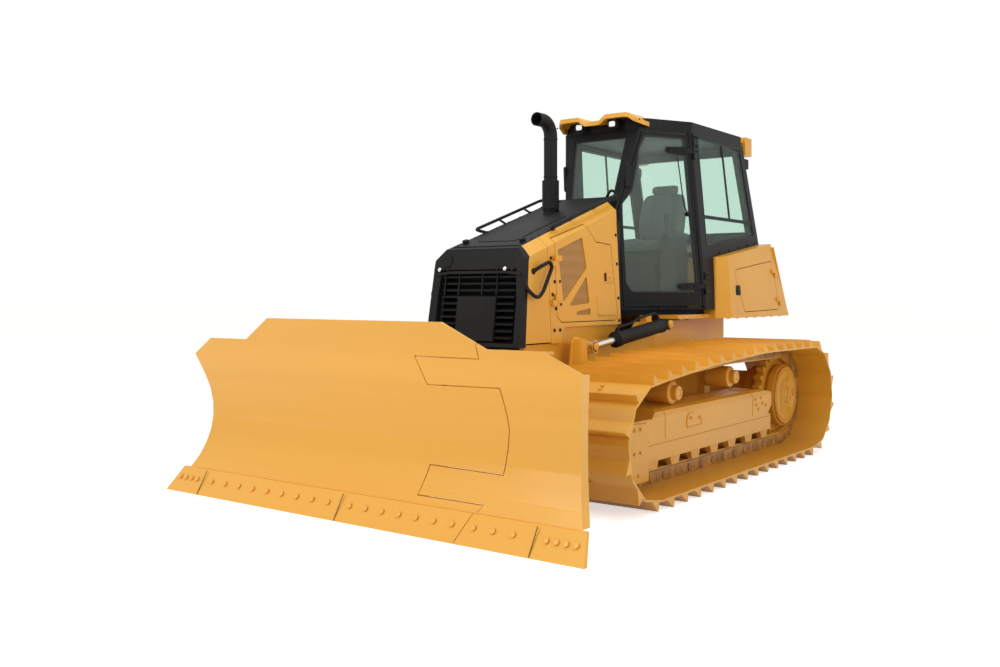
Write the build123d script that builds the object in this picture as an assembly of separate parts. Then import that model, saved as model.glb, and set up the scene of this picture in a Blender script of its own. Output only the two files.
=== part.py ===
from build123d import *
import math
import os

# Crawler bulldozer with wide tracks, a folding-end blade and a cab. Millimetres.
# Working axes: +X forward, +Y to the machine's left, +Z up. X = 0 is the middle of the
# ground run of the tracks, Y = 0 the middle of the machine, Z = 0 the grouser tips.

# ---------------------------------------------------------------- driving dimensions
clear = 0.3                 # seat clearance between pieces that touch on the machine
gap = 6.0                   # running gap between panels that move

# tracks
track_gauge = 2000.0        # distance between the two track centre lines
shoe_width = 762.0
shoe_count = 40
sprocket_x = -1345.0
idler_x = 1398.0
sprocket_pitch_r = 366.0
idler_pitch_r = 313.0
pitch_to_plate = 54.0       # pin line to the outer face of a shoe plate
plate_t = 13.0
grouser_h = 57.0
grouser_at = -60.0          # tip of the grouser, run from the middle of its shoe
grouser_slope = 82.0        # length of its sloping side
rail_depth = 55.0           # pin line to the rail face that the rollers run on
rail_w = 42.0
rail_gap = 76.0             # space between the two rails, where the teeth run
first_carrier = (650.0, 805.0)     # x, pin line height over the carrier roller
second_carrier = (-300.0, 850.0)
carrier_r = 80.0
roller_r = 92.0
roller_count = 7
roller_first_x = 990.0
roller_step = 310.0

# main frame, belly and engine
frame_half_w = 400.0
frame_z0 = 345.0
frame_z1 = 1000.0
frame_front_x = 1432.0
frame_rear_x = -1700.0
frame_plate_t = 40.0

# nose, hood and engine enclosure
enclosure_z0 = 990.0
enclosure_half_w = 416.0    # at the height below; the sides lean in going up
enclosure_w_z = 1100.0
enclosure_lean = 0.05
hood_z_at_0 = 2102.0        # height of the hood line at X = 0
hood_slope = 0.331          # rise per run backward
hood_chamfer = (78.0, 68.0) # width and drop of the chamfer beside the hood
hood_rear_x = 10.0
side_seam_x = 1141.0        # seam between the nose side and the engine side
side_rear_x = 187.0
side_t = 24.0

# cab: two kinds of side, the door plane and the rear side, meet at the middle post
post_foot = (-844.0, 640.0, 1190.0)
door_slant = 0.534          # how far the door plane comes in per run forward
door_lean = 0.0325
side_lean = 0.0352
cab_floor_z = 1200.0
cab_rail_z = 2660.0
cab_roof_t = 82.0
cab_wall = 45.0
door_t = 38.0
glass_t = 8.0
shelf_x = -1000.0           # behind it the cab stands on the tank
tank_half_w = 760.0
tank_rear_top = (-2020.0, 1790.0)
tank_rear_foot = (-2390.0, 1125.0)
tank_front_top = 1640.0
tank_z0 = 1125.0

# lift frame and blade
lift_pivot = (-250.0, 620.0)
arm_y0 = 470.0
arm_y1 = 575.0
ball = (2215.0, 450.0)
lift_eye = (820.0, 960.0)   # on the tower of the lift frame
lift_anchor = (-290.0, 1090.0)
lift_y = 548.0
angle_anchor = (1645.0, 205.0, 615.0)
angle_eye = (2265.0, 420.0, 615.0)
tilt_x = 2296.0
tilt_anchor = (400.0, 800.0)    # y, z of the barrel's pin
tilt_eye = (-240.0, 800.0)
blade_rear_x = 2378.0
edge_tip_x = 2721.0
blade_half_w = 1574.0
edge_half_w = 1683.0
edge_taper = 53.0           # the end bits are this much shorter at the top
edge_t = 25.0
blade_reach = edge_half_w + 20   # a cut this wide passes every end of the blade
moldboard_r = 694.0
moldboard_c = (3164.0, 537.0)
moldboard_t = 20.0
straight_z = 777.0          # above it the moldboard runs straight
shoulder_z = 1037.0
chamfer_z = 924.0
blade_top_z = 1180.0
moldboard_foot_z = 150.0
end_slant = 0.7325          # the blade's ends come in with the hollow of the moldboard
end_plate_t = 16.0
end_plate_depth = 72.0
wing_pivot = (2384.0, 1075.0)
knuckle_r = 26.0
wing_pin_r = 14.0

front_x = edge_tip_x
rear_x = -2420.0
origin_x = (front_x + rear_x) / 2


# ---------------------------------------------------------------- shape helpers
def block(x0, x1, y0, y1, z0, z1):
    """Box between two corners."""
    corner = (min(x0, x1), min(y0, y1), min(z0, z1))
    return Solid.make_box(abs(x1 - x0), abs(y1 - y0), abs(z1 - z0), Plane(corner))


def side_shape(points, y0, y1, radius=0):
    """Outline in X, Z pushed along Y, its corners rounded."""
    face = Face(Wire.make_polygon([Vector(x, y0, z) for x, z in points]))
    return Solid.extrude(rounded(face, radius), Vector(0, y1 - y0, 0))


def front_shape(points, x0, x1):
    """Outline in Y, Z pushed along X."""
    face = Face(Wire.make_polygon([Vector(x0, y, z) for y, z in points]))
    return Solid.extrude(face, Vector(x1 - x0, 0, 0))


def plan_shape(points, z0, z1):
    """Outline in X, Y pushed along Z."""
    face = Face(Wire.make_polygon([Vector(x, y, z0) for x, y in points]))
    return Solid.extrude(face, Vector(0, 0, z1 - z0))


def bar(p, q, r):
    """Round bar from p to q."""
    p, q = Vector(*p), Vector(*q)
    return Solid.make_cylinder(r, (q - p).length, Plane(origin=p, z_dir=(q - p)))


def tube(p, q, r, bore):
    return bar(p, q, r) - bar(p, q, bore)


def bent_tube(points, radius, r):
    """Round tube through points, with equal bends."""
    path = FilletPolyline(*points, radius=radius)
    start = Plane(origin=path @ 0, z_dir=path % 0)
    return sweep(start * Circle(r), path=path)


def mirrored(shape):
    return mirror(shape, about=Plane.XZ)


def both_sides(shape):
    return [shape, mirrored(shape)]


def rod(points, r):
    """Slim rod through points, eight-sided, with mitred corners."""
    path = Polyline(*points)
    start = Plane(origin=path @ 0, z_dir=path % 0)
    return sweep(start * RegularPolygon(r, 8), path=path, transition=Transition.RIGHT)


def rounded(face, radius):
    return face.fillet_2d(radius, face.vertices()) if radius else face


def wall(points, where, thickness, proud=0.0, radius=0):
    """Plate on the points (x, z) of a leaning side plane, from its outer face inward."""
    outer = [Vector(x, where(x, z), z) for x, z in points]
    face = rounded(Face(Wire.make_polygon(outer)), radius)
    normal = face.normal_at()
    if normal.Y < 0:
        normal = normal * -1
    return Solid.extrude(face.moved(Location(normal * proud)), normal * -(thickness + proud))


nodes = {}


def add(name, *shapes):
    """Collect the solids of one node."""
    solids = nodes.setdefault(name, [])
    for shape in shapes:
        if isinstance(shape, (list, tuple)):
            for one in shape:
                solids.extend(one.solids())
        else:
            solids.extend(shape.solids())


# ---------------------------------------------------------------- track loop
def track_path():
    """Closed pin line as legs: ('line', p, q) and ('arc', centre, r, from, turn)."""
    s_c = (sprocket_x, sprocket_pitch_r + pitch_to_plate + grouser_h)
    i_c = (idler_x, idler_pitch_r + pitch_to_plate + grouser_h)

    def tangent_angle(centre, r, point, side):
        """Angle on the circle where a line through the point leaves it."""
        dx, dz = point[0] - centre[0], point[1] - centre[1]
        reach = math.hypot(dx, dz)
        return math.atan2(dz, dx) + side * math.acos(r / reach)

    a_front = tangent_angle(i_c, idler_pitch_r, first_carrier, -1)
    a_rear = tangent_angle(s_c, sprocket_pitch_r, second_carrier, 1)
    on_idler = (i_c[0] + idler_pitch_r * math.cos(a_front), i_c[1] + idler_pitch_r * math.sin(a_front))
    on_sprocket = (s_c[0] + sprocket_pitch_r * math.cos(a_rear), s_c[1] + sprocket_pitch_r * math.sin(a_rear))
    low = pitch_to_plate + grouser_h
    return [
        ("line", (s_c[0], low), (i_c[0], low)),
        ("arc", i_c, idler_pitch_r, -math.pi / 2, a_front + math.pi / 2),
        ("line", on_idler, first_carrier),
        ("line", first_carrier, second_carrier),
        ("line", second_carrier, on_sprocket),
        ("arc", s_c, sprocket_pitch_r, a_rear, 1.5 * math.pi - a_rear),
    ]


def leg_length(leg):
    if leg[0] == "line":
        return math.dist(leg[1], leg[2])
    return leg[2] * leg[4]


track_legs = track_path()
track_length = sum(leg_length(leg) for leg in track_legs)
shoe_pitch = track_length / shoe_count


def on_path(s):
    """Point of the pin line at the run s from the foot of the sprocket."""
    s = s % track_length
    for leg in track_legs:
        length = leg_length(leg)
        if s <= length:
            break
        s -= length
    if leg[0] == "line":
        t = s / length
        return tuple(a + (b - a) * t for a, b in zip(leg[1], leg[2]))
    angle = leg[3] + s / leg[2]
    return (leg[1][0] + leg[2] * math.cos(angle), leg[1][1] + leg[2] * math.sin(angle))


first_pin = 25.4
pins = [on_path(first_pin + k * shoe_pitch) for k in range(shoe_count)]


def link_frames():
    """Middle, direction and outward normal of each link."""
    frames = []
    for k in range(shoe_count):
        p, q = pins[k], pins[(k + 1) % shoe_count]
        d = ((q[0] - p[0]) / math.dist(p, q), (q[1] - p[1]) / math.dist(p, q))
        frames.append(((p[0] + q[0]) / 2, (p[1] + q[1]) / 2, d, (d[1], -d[0])))
    return frames


def offset_pins(distance):
    """The pin polygon moved outward, with mitred corners."""
    frames = link_frames()
    result = []
    for k in range(shoe_count):
        n0, n1 = frames[k - 1][3], frames[k][3]
        bis = (n0[0] + n1[0], n0[1] + n1[1])
        scale = 2 / (bis[0] ** 2 + bis[1] ** 2)
        result.append((pins[k][0] + bis[0] * scale * distance, pins[k][1] + bis[1] * scale * distance))
    return result


def shoe_outline():
    """Outer outline of all shoes, each with one grouser at its leading end."""
    # columns: run along the shoe from its middle, height over the pin line
    half = shoe_pitch / 2
    top = pitch_to_plate + grouser_h
    shape = [(-half + 2, pitch_to_plate), (grouser_at - 9, pitch_to_plate), (grouser_at - 4, top),
             (grouser_at + 4, top), (grouser_at + grouser_slope, pitch_to_plate), (half - 2, pitch_to_plate)]
    points = []
    for x, z, d, n in link_frames():
        for run, height in shape:
            points.append((x + d[0] * run + n[0] * height, z + d[1] * run + n[1] * height))
    return points


def track(y_mid):
    """Shoes, rails between the shoes and the rollers, as one closed loop."""
    y0, y1 = y_mid - shoe_width / 2, y_mid + shoe_width / 2
    inner = offset_pins(pitch_to_plate - plate_t)
    loop = side_shape(shoe_outline(), y0, y1) - side_shape(inner, y0 - 1, y1 + 1)
    for side in (-1, 1):
        a = y_mid + side * rail_gap / 2
        b = a + side * rail_w
        low, high = min(a, b), max(a, b)
        rail = side_shape(offset_pins(pitch_to_plate - plate_t), low, high)
        rail -= side_shape(offset_pins(-rail_depth), low - 1, high + 1)
        loop += rail
    return loop


def tread_r(pitch_r):
    """Radius of a wheel whose tread meets the rails inside the bent chain."""
    return math.sqrt(pitch_r ** 2 - (shoe_pitch / 2) ** 2) - rail_depth - clear


track_y = track_gauge / 2
sprocket_z = sprocket_pitch_r + pitch_to_plate + grouser_h
idler_z = idler_pitch_r + pitch_to_plate + grouser_h
lower_rail_z = pitch_to_plate + grouser_h + rail_depth
roller_z = lower_rail_z + roller_r + clear

for side, y_mid in (("left", track_y), ("right", -track_y)):
    add("track_" + side, track(y_mid))

# wheels of the undercarriage, both sides in one node each
beam_half_w = 150.0
beam_z0 = roller_z + roller_r + gap
beam_z1 = 568.0
beam_front_x = 1090.0
beam_rear_x = -970.0
guard_w = 62.0              # ledge over the roller ends
guard_z = (240.0, 342.0)
yoke_t = 40.0
yoke_cover_t = 16.0
roller_half_w = rail_gap / 2 + rail_w + 12

rim_half = rail_gap / 2 + rail_w + 4


def wheel(x, z, steps, y_mid=track_y):
    """Stepped round body across the track; steps are (y from, y to, radius) about its middle."""
    body = None
    for y0, y1, r in steps:
        disc = bar((x, y_mid + y0, z), (x, y_mid + y1, z), r)
        body = disc if body is None else body + disc
    return body


idler_r = tread_r(idler_pitch_r)
idler = wheel(idler_x, idler_z, [(-rim_half, rim_half, idler_r), (-33, 33, idler_r + 18)])
for side in (-1, 1):
    idler -= bar((idler_x, track_y + side * 30, idler_z), (idler_x, track_y + side * 90, idler_z), 200)
idler += wheel(idler_x, idler_z, [(-110 + clear, 110 - clear, 62)])
add("idlers", both_sides(idler))

teeth = 25
sprocket_points = []
for k in range(teeth):
    for turn, r in ((-0.32, tread_r(sprocket_pitch_r) + 8), (-0.12, sprocket_pitch_r - 14),
                    (0.12, sprocket_pitch_r - 14), (0.32, tread_r(sprocket_pitch_r) + 8)):
        a = 2 * math.pi * (k + turn) / teeth
        sprocket_points.append((sprocket_x + r * math.cos(a), sprocket_z + r * math.sin(a)))
sprocket = side_shape(sprocket_points, track_y - 30, track_y + 30)
sprocket += wheel(sprocket_x, sprocket_z, [(-150, 60, 235), (60, 104, 257), (104, 129, 236)])
add("sprockets", both_sides(sprocket))

for k in range(roller_count):
    x = roller_first_x - k * roller_step
    roller = wheel(x, roller_z, [(-roller_half_w, roller_half_w, roller_r)])
    add("bottom_rollers", both_sides(roller))


def carrier_z(pin_z):
    return pin_z - rail_depth - carrier_r - 14


for x, pin_z in (first_carrier, second_carrier):
    roller = wheel(x, carrier_z(pin_z), [(-100 + clear, 130, 52), (-84, 84, carrier_r)])
    add("carrier_rollers", both_sides(roller))


def track_frame():
    """Boxed beam with rounded top edges, idler yoke, and the ledges that hold the rollers."""
    y0, y1 = track_y - beam_half_w, track_y + beam_half_w
    section = [(y0, beam_z0), (y1, beam_z0), (y1, beam_z1 - 48), (y1 - 14, beam_z1 - 14), (y1 - 48, beam_z1),
               (y0 + 48, beam_z1), (y0 + 14, beam_z1 - 14), (y0, beam_z1 - 48)]
    frame = front_shape(section, beam_rear_x, beam_front_x) & side_shape(
        [(beam_front_x, beam_z0), (beam_front_x, beam_z1 - 70), (beam_front_x - 130, beam_z1),
         (beam_rear_x + 170, beam_z1), (beam_rear_x, beam_z1 - 30), (beam_rear_x, beam_z0 + 80), (beam_rear_x + 90, beam_z0)], y0, y1)
    for side in (-1, 1):
        inner = track_y + side * (beam_half_w - yoke_t)
        face = track_y + side * beam_half_w
        # idler yoke with its bolted cover and the guard below it
        frame += side_shape([(1070, 380), (1070, 520), (1470, 520), (1500, 490), (1500, 380), (1470, 350)],
                            *sorted((inner, face)))
        frame += side_shape([(1125, 130), (1125, 500), (1400, 514), (1420, 490), (1420, 300), (1384, 270),
                             (1384, 150), (1350, 130)], *sorted((face - side * 2, face + side * yoke_cover_t)))
        # ledge over the roller ends, and a saddle at each roller
        end = track_y + side * (roller_half_w + clear)
        frame += block(beam_rear_x + 30, beam_front_x + 20, end, end + side * guard_w, guard_z[0], guard_z[1])
        frame += block(beam_rear_x + 30, beam_front_x + 20, end, face, guard_z[1] - 10, beam_z0 + 10)
        for k in range(roller_count):
            x = roller_first_x - k * roller_step
            frame += side_shape([(x - 78, guard_z[0] + 5), (x - 52, guard_z[0] - 62), (x + 52, guard_z[0] - 62),
                                 (x + 78, guard_z[0] + 5)], *sorted((end, end + side * 34)))
    for x, pin_z in (first_carrier, second_carrier):
        frame += block(x - 45, x + 45, track_y - 150, track_y - 100, beam_z1 - 60, carrier_z(pin_z) + 45)
    return frame


frame_one = track_frame()
for side, shape in (("left", frame_one), ("right", mirrored(frame_one))):
    add("track_frame_" + side, shape)

# ---------------------------------------------------------------- main frame
rail_out = frame_half_w
rail_in = frame_half_w - frame_plate_t
main_rail = side_shape([(frame_rear_x, 480), (frame_rear_x, tank_z0 - clear), (shelf_x, tank_z0 - clear),
                        (shelf_x, 1110), (-120, 1110), (10, enclosure_z0 - clear),
                        (frame_front_x, enclosure_z0 - clear), (frame_front_x, 560), (frame_front_x - 250, frame_z0),
                        (-1300, frame_z0)], rail_in, rail_out)
main_frame = main_rail + mirrored(main_rail)
main_frame += block(frame_front_x - 60, frame_front_x, -rail_in, rail_in, 560, 940)
for x in (300, 1000):
    main_frame += block(x, x + 60, -rail_in, rail_in, 470, 520 - clear)
for x in (-920, -330):
    for s in (1, -1):
        main_frame += block(x, x + 90, s * 340, s * 398, 1105, cab_floor_z - 40 - clear)
main_frame += block(frame_rear_x, frame_rear_x + 40, -rail_in, rail_in, 480, 1110)
main_frame += block(-1560, -1130, -rail_in, rail_in, 380, 900)
main_frame += block(-260, -200, -rail_in, rail_in, frame_z0, 900)
main_frame += block(-1300, frame_front_x - 250, -rail_in, rail_in, frame_z0, frame_z0 + 16)
lift_pin_r = 45.0
anchor_pin_r = 24.0
ear_t = 22.0
ram_pin_r = 16.0            # pins that the rods' open eyes turn on
lift_pin_end_r = 20.0
eye_half = 30.0             # half width of a cylinder's end eye
rod_eye_r = 46.0
rod_bore_r = 36.0           # open, since the joints follow the true linkage only nearly
for s in (1, -1):
    main_frame += bar((lift_pivot[0], s * (rail_out - 10), lift_pivot[1]),
                      (lift_pivot[0], s * (arm_y1 + 8), lift_pivot[1]), lift_pin_r)
    bracket = block(lift_anchor[0] - 70, lift_anchor[0] + 38, s * (rail_out - 1), s * (lift_y - eye_half - 3),
                    lift_anchor[1] - 60, lift_anchor[1] + 18)
    main_frame += bracket
    main_frame += bar((lift_anchor[0], s * (lift_y - eye_half - 10), lift_anchor[1]),
                      (lift_anchor[0], s * (lift_y + eye_half + 14), lift_anchor[1]), anchor_pin_r)
main_frame += block(lift_anchor[0] - 70, lift_anchor[0] + 50, -rail_out, -rail_in, 1100, lift_anchor[1] + 18)
main_frame += block(lift_anchor[0] - 70, lift_anchor[0] + 50, rail_in, rail_out, 1100, lift_anchor[1] + 18)
for s in (1, -1):
    main_frame += block(shelf_x, -430, s * (rail_out - 1), s * 590, 1128, cab_floor_z - 40 - clear)
add("main_frame", main_frame)
add("engine_block", block(270, 1080, -270, 270, 520, 1480))

shaft_x = -700.0
shaft = bar((shaft_x, frame_half_w + clear, 460), (shaft_x, track_y - beam_half_w - clear, 460), 70)
side_gap = (frame_half_w + clear, track_y - beam_half_w - clear)
equalizer = front_shape([(side_gap[0], 322), (side_gap[0], 386), (620, 386), (770, 440), (side_gap[1], 440),
                         (side_gap[1], 376), (780, 376), (640, 322)], 400, 520)
add("cross_shafts", both_sides(shaft), both_sides(equalizer))
axle = bar((sprocket_x, frame_half_w + clear, sprocket_z), (sprocket_x, track_y - 150 - clear, sprocket_z), 190)
add("final_drives", both_sides(axle))

hitch_x = -1900.0
hitch_z = 560.0
hitch_bore_r = 24.0
hitch = block(frame_rear_x - clear, hitch_x + 30, -90, 90, hitch_z - 75, hitch_z + 75)
for z0 in (hitch_z - 75, hitch_z + 35):
    hitch += block(hitch_x - 10, hitch_x + 60, -60, 60, z0, z0 + 40)
    hitch += bar((hitch_x - 10, 0, z0), (hitch_x - 10, 0, z0 + 40), 60)
hitch -= bar((hitch_x - 10, 0, hitch_z - 80), (hitch_x - 10, 0, hitch_z + 80), hitch_bore_r)
hitch -= block(hitch_x - 90, hitch_x + 52, -100, 100, hitch_z - 35, hitch_z + 35)
add("drawbar", hitch)

# ---------------------------------------------------------------- nose, hood, engine enclosure
def hood_z(x):
    return hood_z_at_0 - hood_slope * x


def side_y(z):
    """Half width of the leaning enclosure side at a height."""
    return enclosure_half_w - enclosure_lean * (z - enclosure_w_z)


def hood_half_w(x):
    return side_y(hood_z(x) - hood_chamfer[1]) - hood_chamfer[0]


def enclosure(x0, x1, inset_by, z0):
    """Body with leaning sides and chamfers under the hood line, moved inward all round."""
    rings = []
    for x in (x0, x1):
        top = hood_z(x) - inset_by
        low = top - hood_chamfer[1]
        half = [(side_y(z0) - inset_by, z0), (side_y(low) - inset_by, low), (hood_half_w(x) - inset_by, top)]
        ring = [Vector(x, y, z) for y, z in half] + [Vector(x, -y, z) for y, z in half[::-1]]
        rings.append(Wire.make_polygon(ring))
    return Solid.make_loft(rings, True)


front_face = [(1489, 975), (1484, 1010), (1412, 1550), (1385, 1634)]
nose_t = 42.0
behind_nose = [(800, 900)] + [(x - nose_t, z) for x, z in front_face] + [(1343, 1700), (800, 1700)]
in_front = [(1700, 900), (1700, 1800), (1380, 1800)] + front_face[::-1] + [(1489, 900)]
nose_box = enclosure(side_seam_x + 2, 1520, 0, 975) - side_shape(in_front, -500, 500)
nose = nose_box - side_shape([(800, 800)] + behind_nose[1:-1] + [(800, 1800)], -500, 500)
opening = [(-345, 1000), (-345, 1290), (-325, 1500), (325, 1500), (345, 1290), (345, 1000)]
nose -= front_shape(opening, 1300, 1600)
add("nose_guard", nose)


def grille_x(z):
    return 1484 - 0.1333 * (z - 1010)


# louvres: three full rows, then a plain centre panel with rows either side
grille = side_shape([(grille_x(1003) - 130, 1003), (grille_x(1003) - 112, 1003), (grille_x(1497) - 112, 1497),
                     (grille_x(1497) - 130, 1497)], -322, 322)
slats = [(1468 - 46 * k, 318) for k in range(4)]
for z, half in slats:
    grille += side_shape([(grille_x(z) - 120, z - 6), (grille_x(z) - 14, z - 26), (grille_x(z) - 14, z - 14),
                          (grille_x(z) - 120, z + 6)], -half, half)
for k in range(6):
    z = 1284 - 46 * k
    for s in (1, -1):
        low, high = sorted((s * 168, s * 318))
        grille += side_shape([(grille_x(z) - 120, z - 6), (grille_x(z) - 14, z - 26), (grille_x(z) - 14, z - 14),
                              (grille_x(z) - 120, z + 6)], low, high)
grille += side_shape([(grille_x(1010) - 120, 1010), (grille_x(1010) - 8, 1010), (grille_x(1312) - 8, 1312),
                      (grille_x(1312) - 120, 1312)], -168, 168)
for s in (1, -1):
    low, high = sorted((s * 316, s * 358))
    grille += side_shape([(grille_x(1003) - 130, 1003), (grille_x(1003) - nose_t - clear, 1003),
                          (grille_x(1497) - nose_t - clear, 1497), (grille_x(1497) - 130, 1497)], low, high)
add("grille", grille)

nose_sides = (enclosure(side_seam_x + 2, 1520, 0, 1000) - enclosure(side_seam_x - 2, 1540, side_t, 900))
nose_sides &= side_shape([(800, 900)] + [(x - nose_t - clear, z) for x, z in front_face] + [(1342, 1800), (800, 1800)],
                         -500, 500)
nose_sides -= plan_shape([(1600, hood_half_w(1600) + clear), (800, hood_half_w(800) + clear),
                          (800, -hood_half_w(800) - clear), (1600, -hood_half_w(1600) - clear)], 900, 2000)
add("nose_sides", nose_sides)

hood_plan = [(1342, hood_half_w(1342)), (hood_rear_x, hood_half_w(hood_rear_x)),
             (hood_rear_x, -hood_half_w(hood_rear_x)), (1342, -hood_half_w(1342))]
hood = side_shape([(1342, hood_z(1342)), (hood_rear_x, hood_z(hood_rear_x)), (hood_rear_x, hood_z(hood_rear_x) - 14),
                   (1342, hood_z(1342) - 14)], -400, 400) & plan_shape(hood_plan, 1000, 2200)
stack_x, stack_y = 420.0, -75.0
hood -= bar((stack_x, stack_y, 1000), (stack_x, stack_y, 2300), 53 + clear)
add("hood", hood)
firewall = block(150, side_rear_x - clear, -385, 385, enclosure_z0, 1890)
firewall += block(60, 150, -215, 215, 1270, 2030)
add("firewall", firewall)

# engine sides with their doors; the door leaf follows the lean and the chamfer
door_line = [(1053, 1176), (1003, 1136), (268, 1136), (231, 1165), (296, 1700), (500, 1712), (640, 1836),
             (1047, 1718)]


def inset(points, d):
    """Outline moved inward by d, with mitred corners."""
    ring = list(points)
    area = sum(p[0] * q[1] - q[0] * p[1] for p, q in zip(ring, ring[1:] + ring[:1]))
    sense = math.copysign(1, area)
    result = []
    for k in range(len(ring)):
        p, q, r = ring[k - 1], ring[k], ring[(k + 1) % len(ring)]
        a, b = math.dist(p, q), math.dist(q, r)
        n0 = (-(q[1] - p[1]) / a * sense, (q[0] - p[0]) / a * sense)
        n1 = (-(r[1] - q[1]) / b * sense, (r[0] - q[0]) / b * sense)
        scale = d / (1 + n0[0] * n1[0] + n0[1] * n1[1])
        result.append((q[0] + (n0[0] + n1[0]) * scale, q[1] + (n0[1] + n1[1]) * scale))
    return result


engine_skin = enclosure(side_rear_x, side_seam_x - 2, 0, enclosure_z0) - enclosure(
    side_rear_x - 5, side_seam_x + 5, side_t, enclosure_z0 - 50)
engine_skin -= plan_shape([(1300, hood_half_w(1300) + clear), (0, hood_half_w(0) + clear),
                           (0, -hood_half_w(0) - clear), (1300, -hood_half_w(1300) - clear)], 900, 2200)
near_skin = engine_skin & block(0, 1300, 100, 600, 900, 2200)
leaf_cut = side_shape(door_line, 100, 600)
side_panel = near_skin - side_shape(inset(door_line, -gap), 100, 600)
side_panel -= side_shape([(side_rear_x - 10, 980), (side_rear_x - 10, 1100), (960, 1100), (1010, 1050), (1010, 980)],
                         100, 600)
mesh_depth = 9.0            # the mesh lies this far back in its windows
windows = [[(1015, 1640), (689, 1742), (645, 1515), (970, 1271)], [(652, 1463), (627, 1265), (907, 1242)],
           [(615, 1229), (615, 1181), (975, 1181)]]
engine_door = near_skin & leaf_cut
for window in windows:
    engine_door -= side_shape(window, 100, 600, 12) - enclosure(side_rear_x - 5, side_seam_x + 5, mesh_depth, 900)
engine_hinge = (1080.0, 424.0)
for z in (1290, 1560):
    for z0, x0, foot, z1 in ((z, 1022, 1040, z + 38), (z - 38, 1130, 1112, z - clear)):
        knuckle = bar((*engine_hinge, z0), (*engine_hinge, z1), 10)
        knuckle += block(x0, engine_hinge[0], side_y(z0) + 2, engine_hinge[1] + 6, z0, z1)
        knuckle += block(x0, foot, side_y(z1) - 4, engine_hinge[1] + 6, z0, z1)
        if x0 < engine_hinge[0]:
            engine_door += knuckle
        else:
            side_panel += knuckle
add("side_panels", both_sides(side_panel))
add("engine_door_left", engine_door)
add("engine_door_right", mirrored(engine_door))

stack = bar((stack_x, stack_y, 1900), (stack_x, stack_y, 1935), 53)
pipe_z = hood_z(stack_x) + 25
stack += bar((stack_x, stack_y, 1935), (stack_x, stack_y, 2205), 53) + tube(
    (stack_x, stack_y, pipe_z), (stack_x, stack_y, 2205), 65, 52)
stack += bent_tube([(stack_x, stack_y, 2204), (stack_x, stack_y, 2658), (stack_x + 190, stack_y, 2658)], 110, 52)
stack -= bar((stack_x + 60, stack_y, 2658), (stack_x + 195, stack_y, 2658), 46)
add("exhaust_stack", stack)

rail_out_y = 352.0
hand_rail = rod([(950, 296, hood_z(950) + 4), (1015, rail_out_y, hood_z(1015) + 42),
                 (130, rail_out_y, hood_z(130) + 38), (60, 240, hood_z(60) + 4)], 12)
hand_rail -= enclosure(0, 1300, -clear, 1500)
add("hood_rails", both_sides(hand_rail))
grab = rod([(1250, side_y(1488) - 2, 1488), (1222, 445, 1508), (1165, 445, 1512), (1172, 445, 1470),
            (1290, 445, 1325), (1336, 440, 1330), (1336, side_y(1372) - 2, 1372)], 11)
add("grab_handles", both_sides(grab - enclosure(900, 1500, -clear, 900)))


# ---------------------------------------------------------------- cab
def door_plane(x, z):
    return post_foot[1] - door_slant * (x - post_foot[0]) + door_lean * (z - post_foot[2])


def rear_plane(x, z):
    return post_foot[1] - side_lean * (z - post_foot[2])


def post_x(z):
    """x of the edge where the door plane meets the rear side."""
    return post_foot[0] + (door_lean + side_lean) / door_slant * (z - post_foot[2])


def front_x_at(z):
    """x of the cab's front face: the wall rises forward, the windshield leans back."""
    if z < 2000:
        return -100 + 70 * (z - 1200) / 800
    return -30 - 180 * (z - 2000) / 650


cab_roof_z = cab_rail_z + cab_roof_t
windshield_z = (2075.0, cab_rail_z - 68)
rear_glass_z = (1900.0, cab_rail_z - 80)
side_glass_top = cab_rail_z - 38
door_top = cab_rail_z - 26
pane_top = cab_rail_z - 60


def rear_x_at(z):
    return rear_low[0] + (rear_high[0] - rear_low[0]) * (z - rear_low[1]) / (rear_high[1] - rear_low[1])


rear_low = (-1975.0, 1820.0)
rear_high = (-1690.0, cab_rail_z)


def tank_top(x):
    """Height of the tank's sloping top."""
    return tank_front_top + (shelf_x - x) * (tank_rear_top[1] - tank_front_top) / (shelf_x - tank_rear_top[0]) + clear


def on_tank(x):
    """Foot of the cab's leaning side, whose inner edge hangs lower than its outer one."""
    return tank_top(x) + cab_wall * side_lean + clear


def column(section, levels):
    """Leaning column through plan outlines given by section(z)."""
    body = None
    for z0, z1 in zip(levels, levels[1:]):
        rings = [Wire.make_polygon([Vector(x, y, z) for x, y in section(z)]) for z in (z0, z1)]
        piece = Solid.make_loft(rings, True)
        body = piece if body is None else body + piece
    return body


def middle_post(z):
    x, y = post_x(z), rear_plane(0, z)
    return [(x + 26, door_plane(x + 26, z)), (x, y), (x - 75, y), (x - 75, y - 52), (x - 4, y - 52)]


def windshield_half(z):
    """Half width of the windshield, which widens upward."""
    return 200 + 50 * max(z - 2000, 0) / 650


def front_post(z):
    x = front_x_at(z)
    half = windshield_half(z)
    return [(x, door_plane(x, z)), (x - 24, door_plane(x - 24, z)), (x - 48, door_plane(x - 24, z) - 42),
            (x - 48, half - 30), (x, half)]


def rear_post(z):
    x, y = rear_x_at(z), rear_plane(0, z)
    return [(x, y), (x, y - 100), (x + 35, y - 100), (x + 68, y - 45), (x + 68, y)]


def front_wall(z):
    x = front_x_at(z)
    half = windshield_half(z) + 10
    return [(x, half), (x - cab_wall, half), (x - cab_wall, -half), (x, -half)]


cab_frame = column(front_wall, [cab_floor_z, 2000, windshield_z[0]])
cab_frame += column(front_wall, [windshield_z[1], cab_rail_z])
for s in both_sides(column(middle_post, [cab_floor_z, cab_rail_z])) + both_sides(
        column(front_post, [cab_floor_z, 2000, cab_rail_z])) + both_sides(column(rear_post, [1786, cab_rail_z])):
    cab_frame += s

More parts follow.
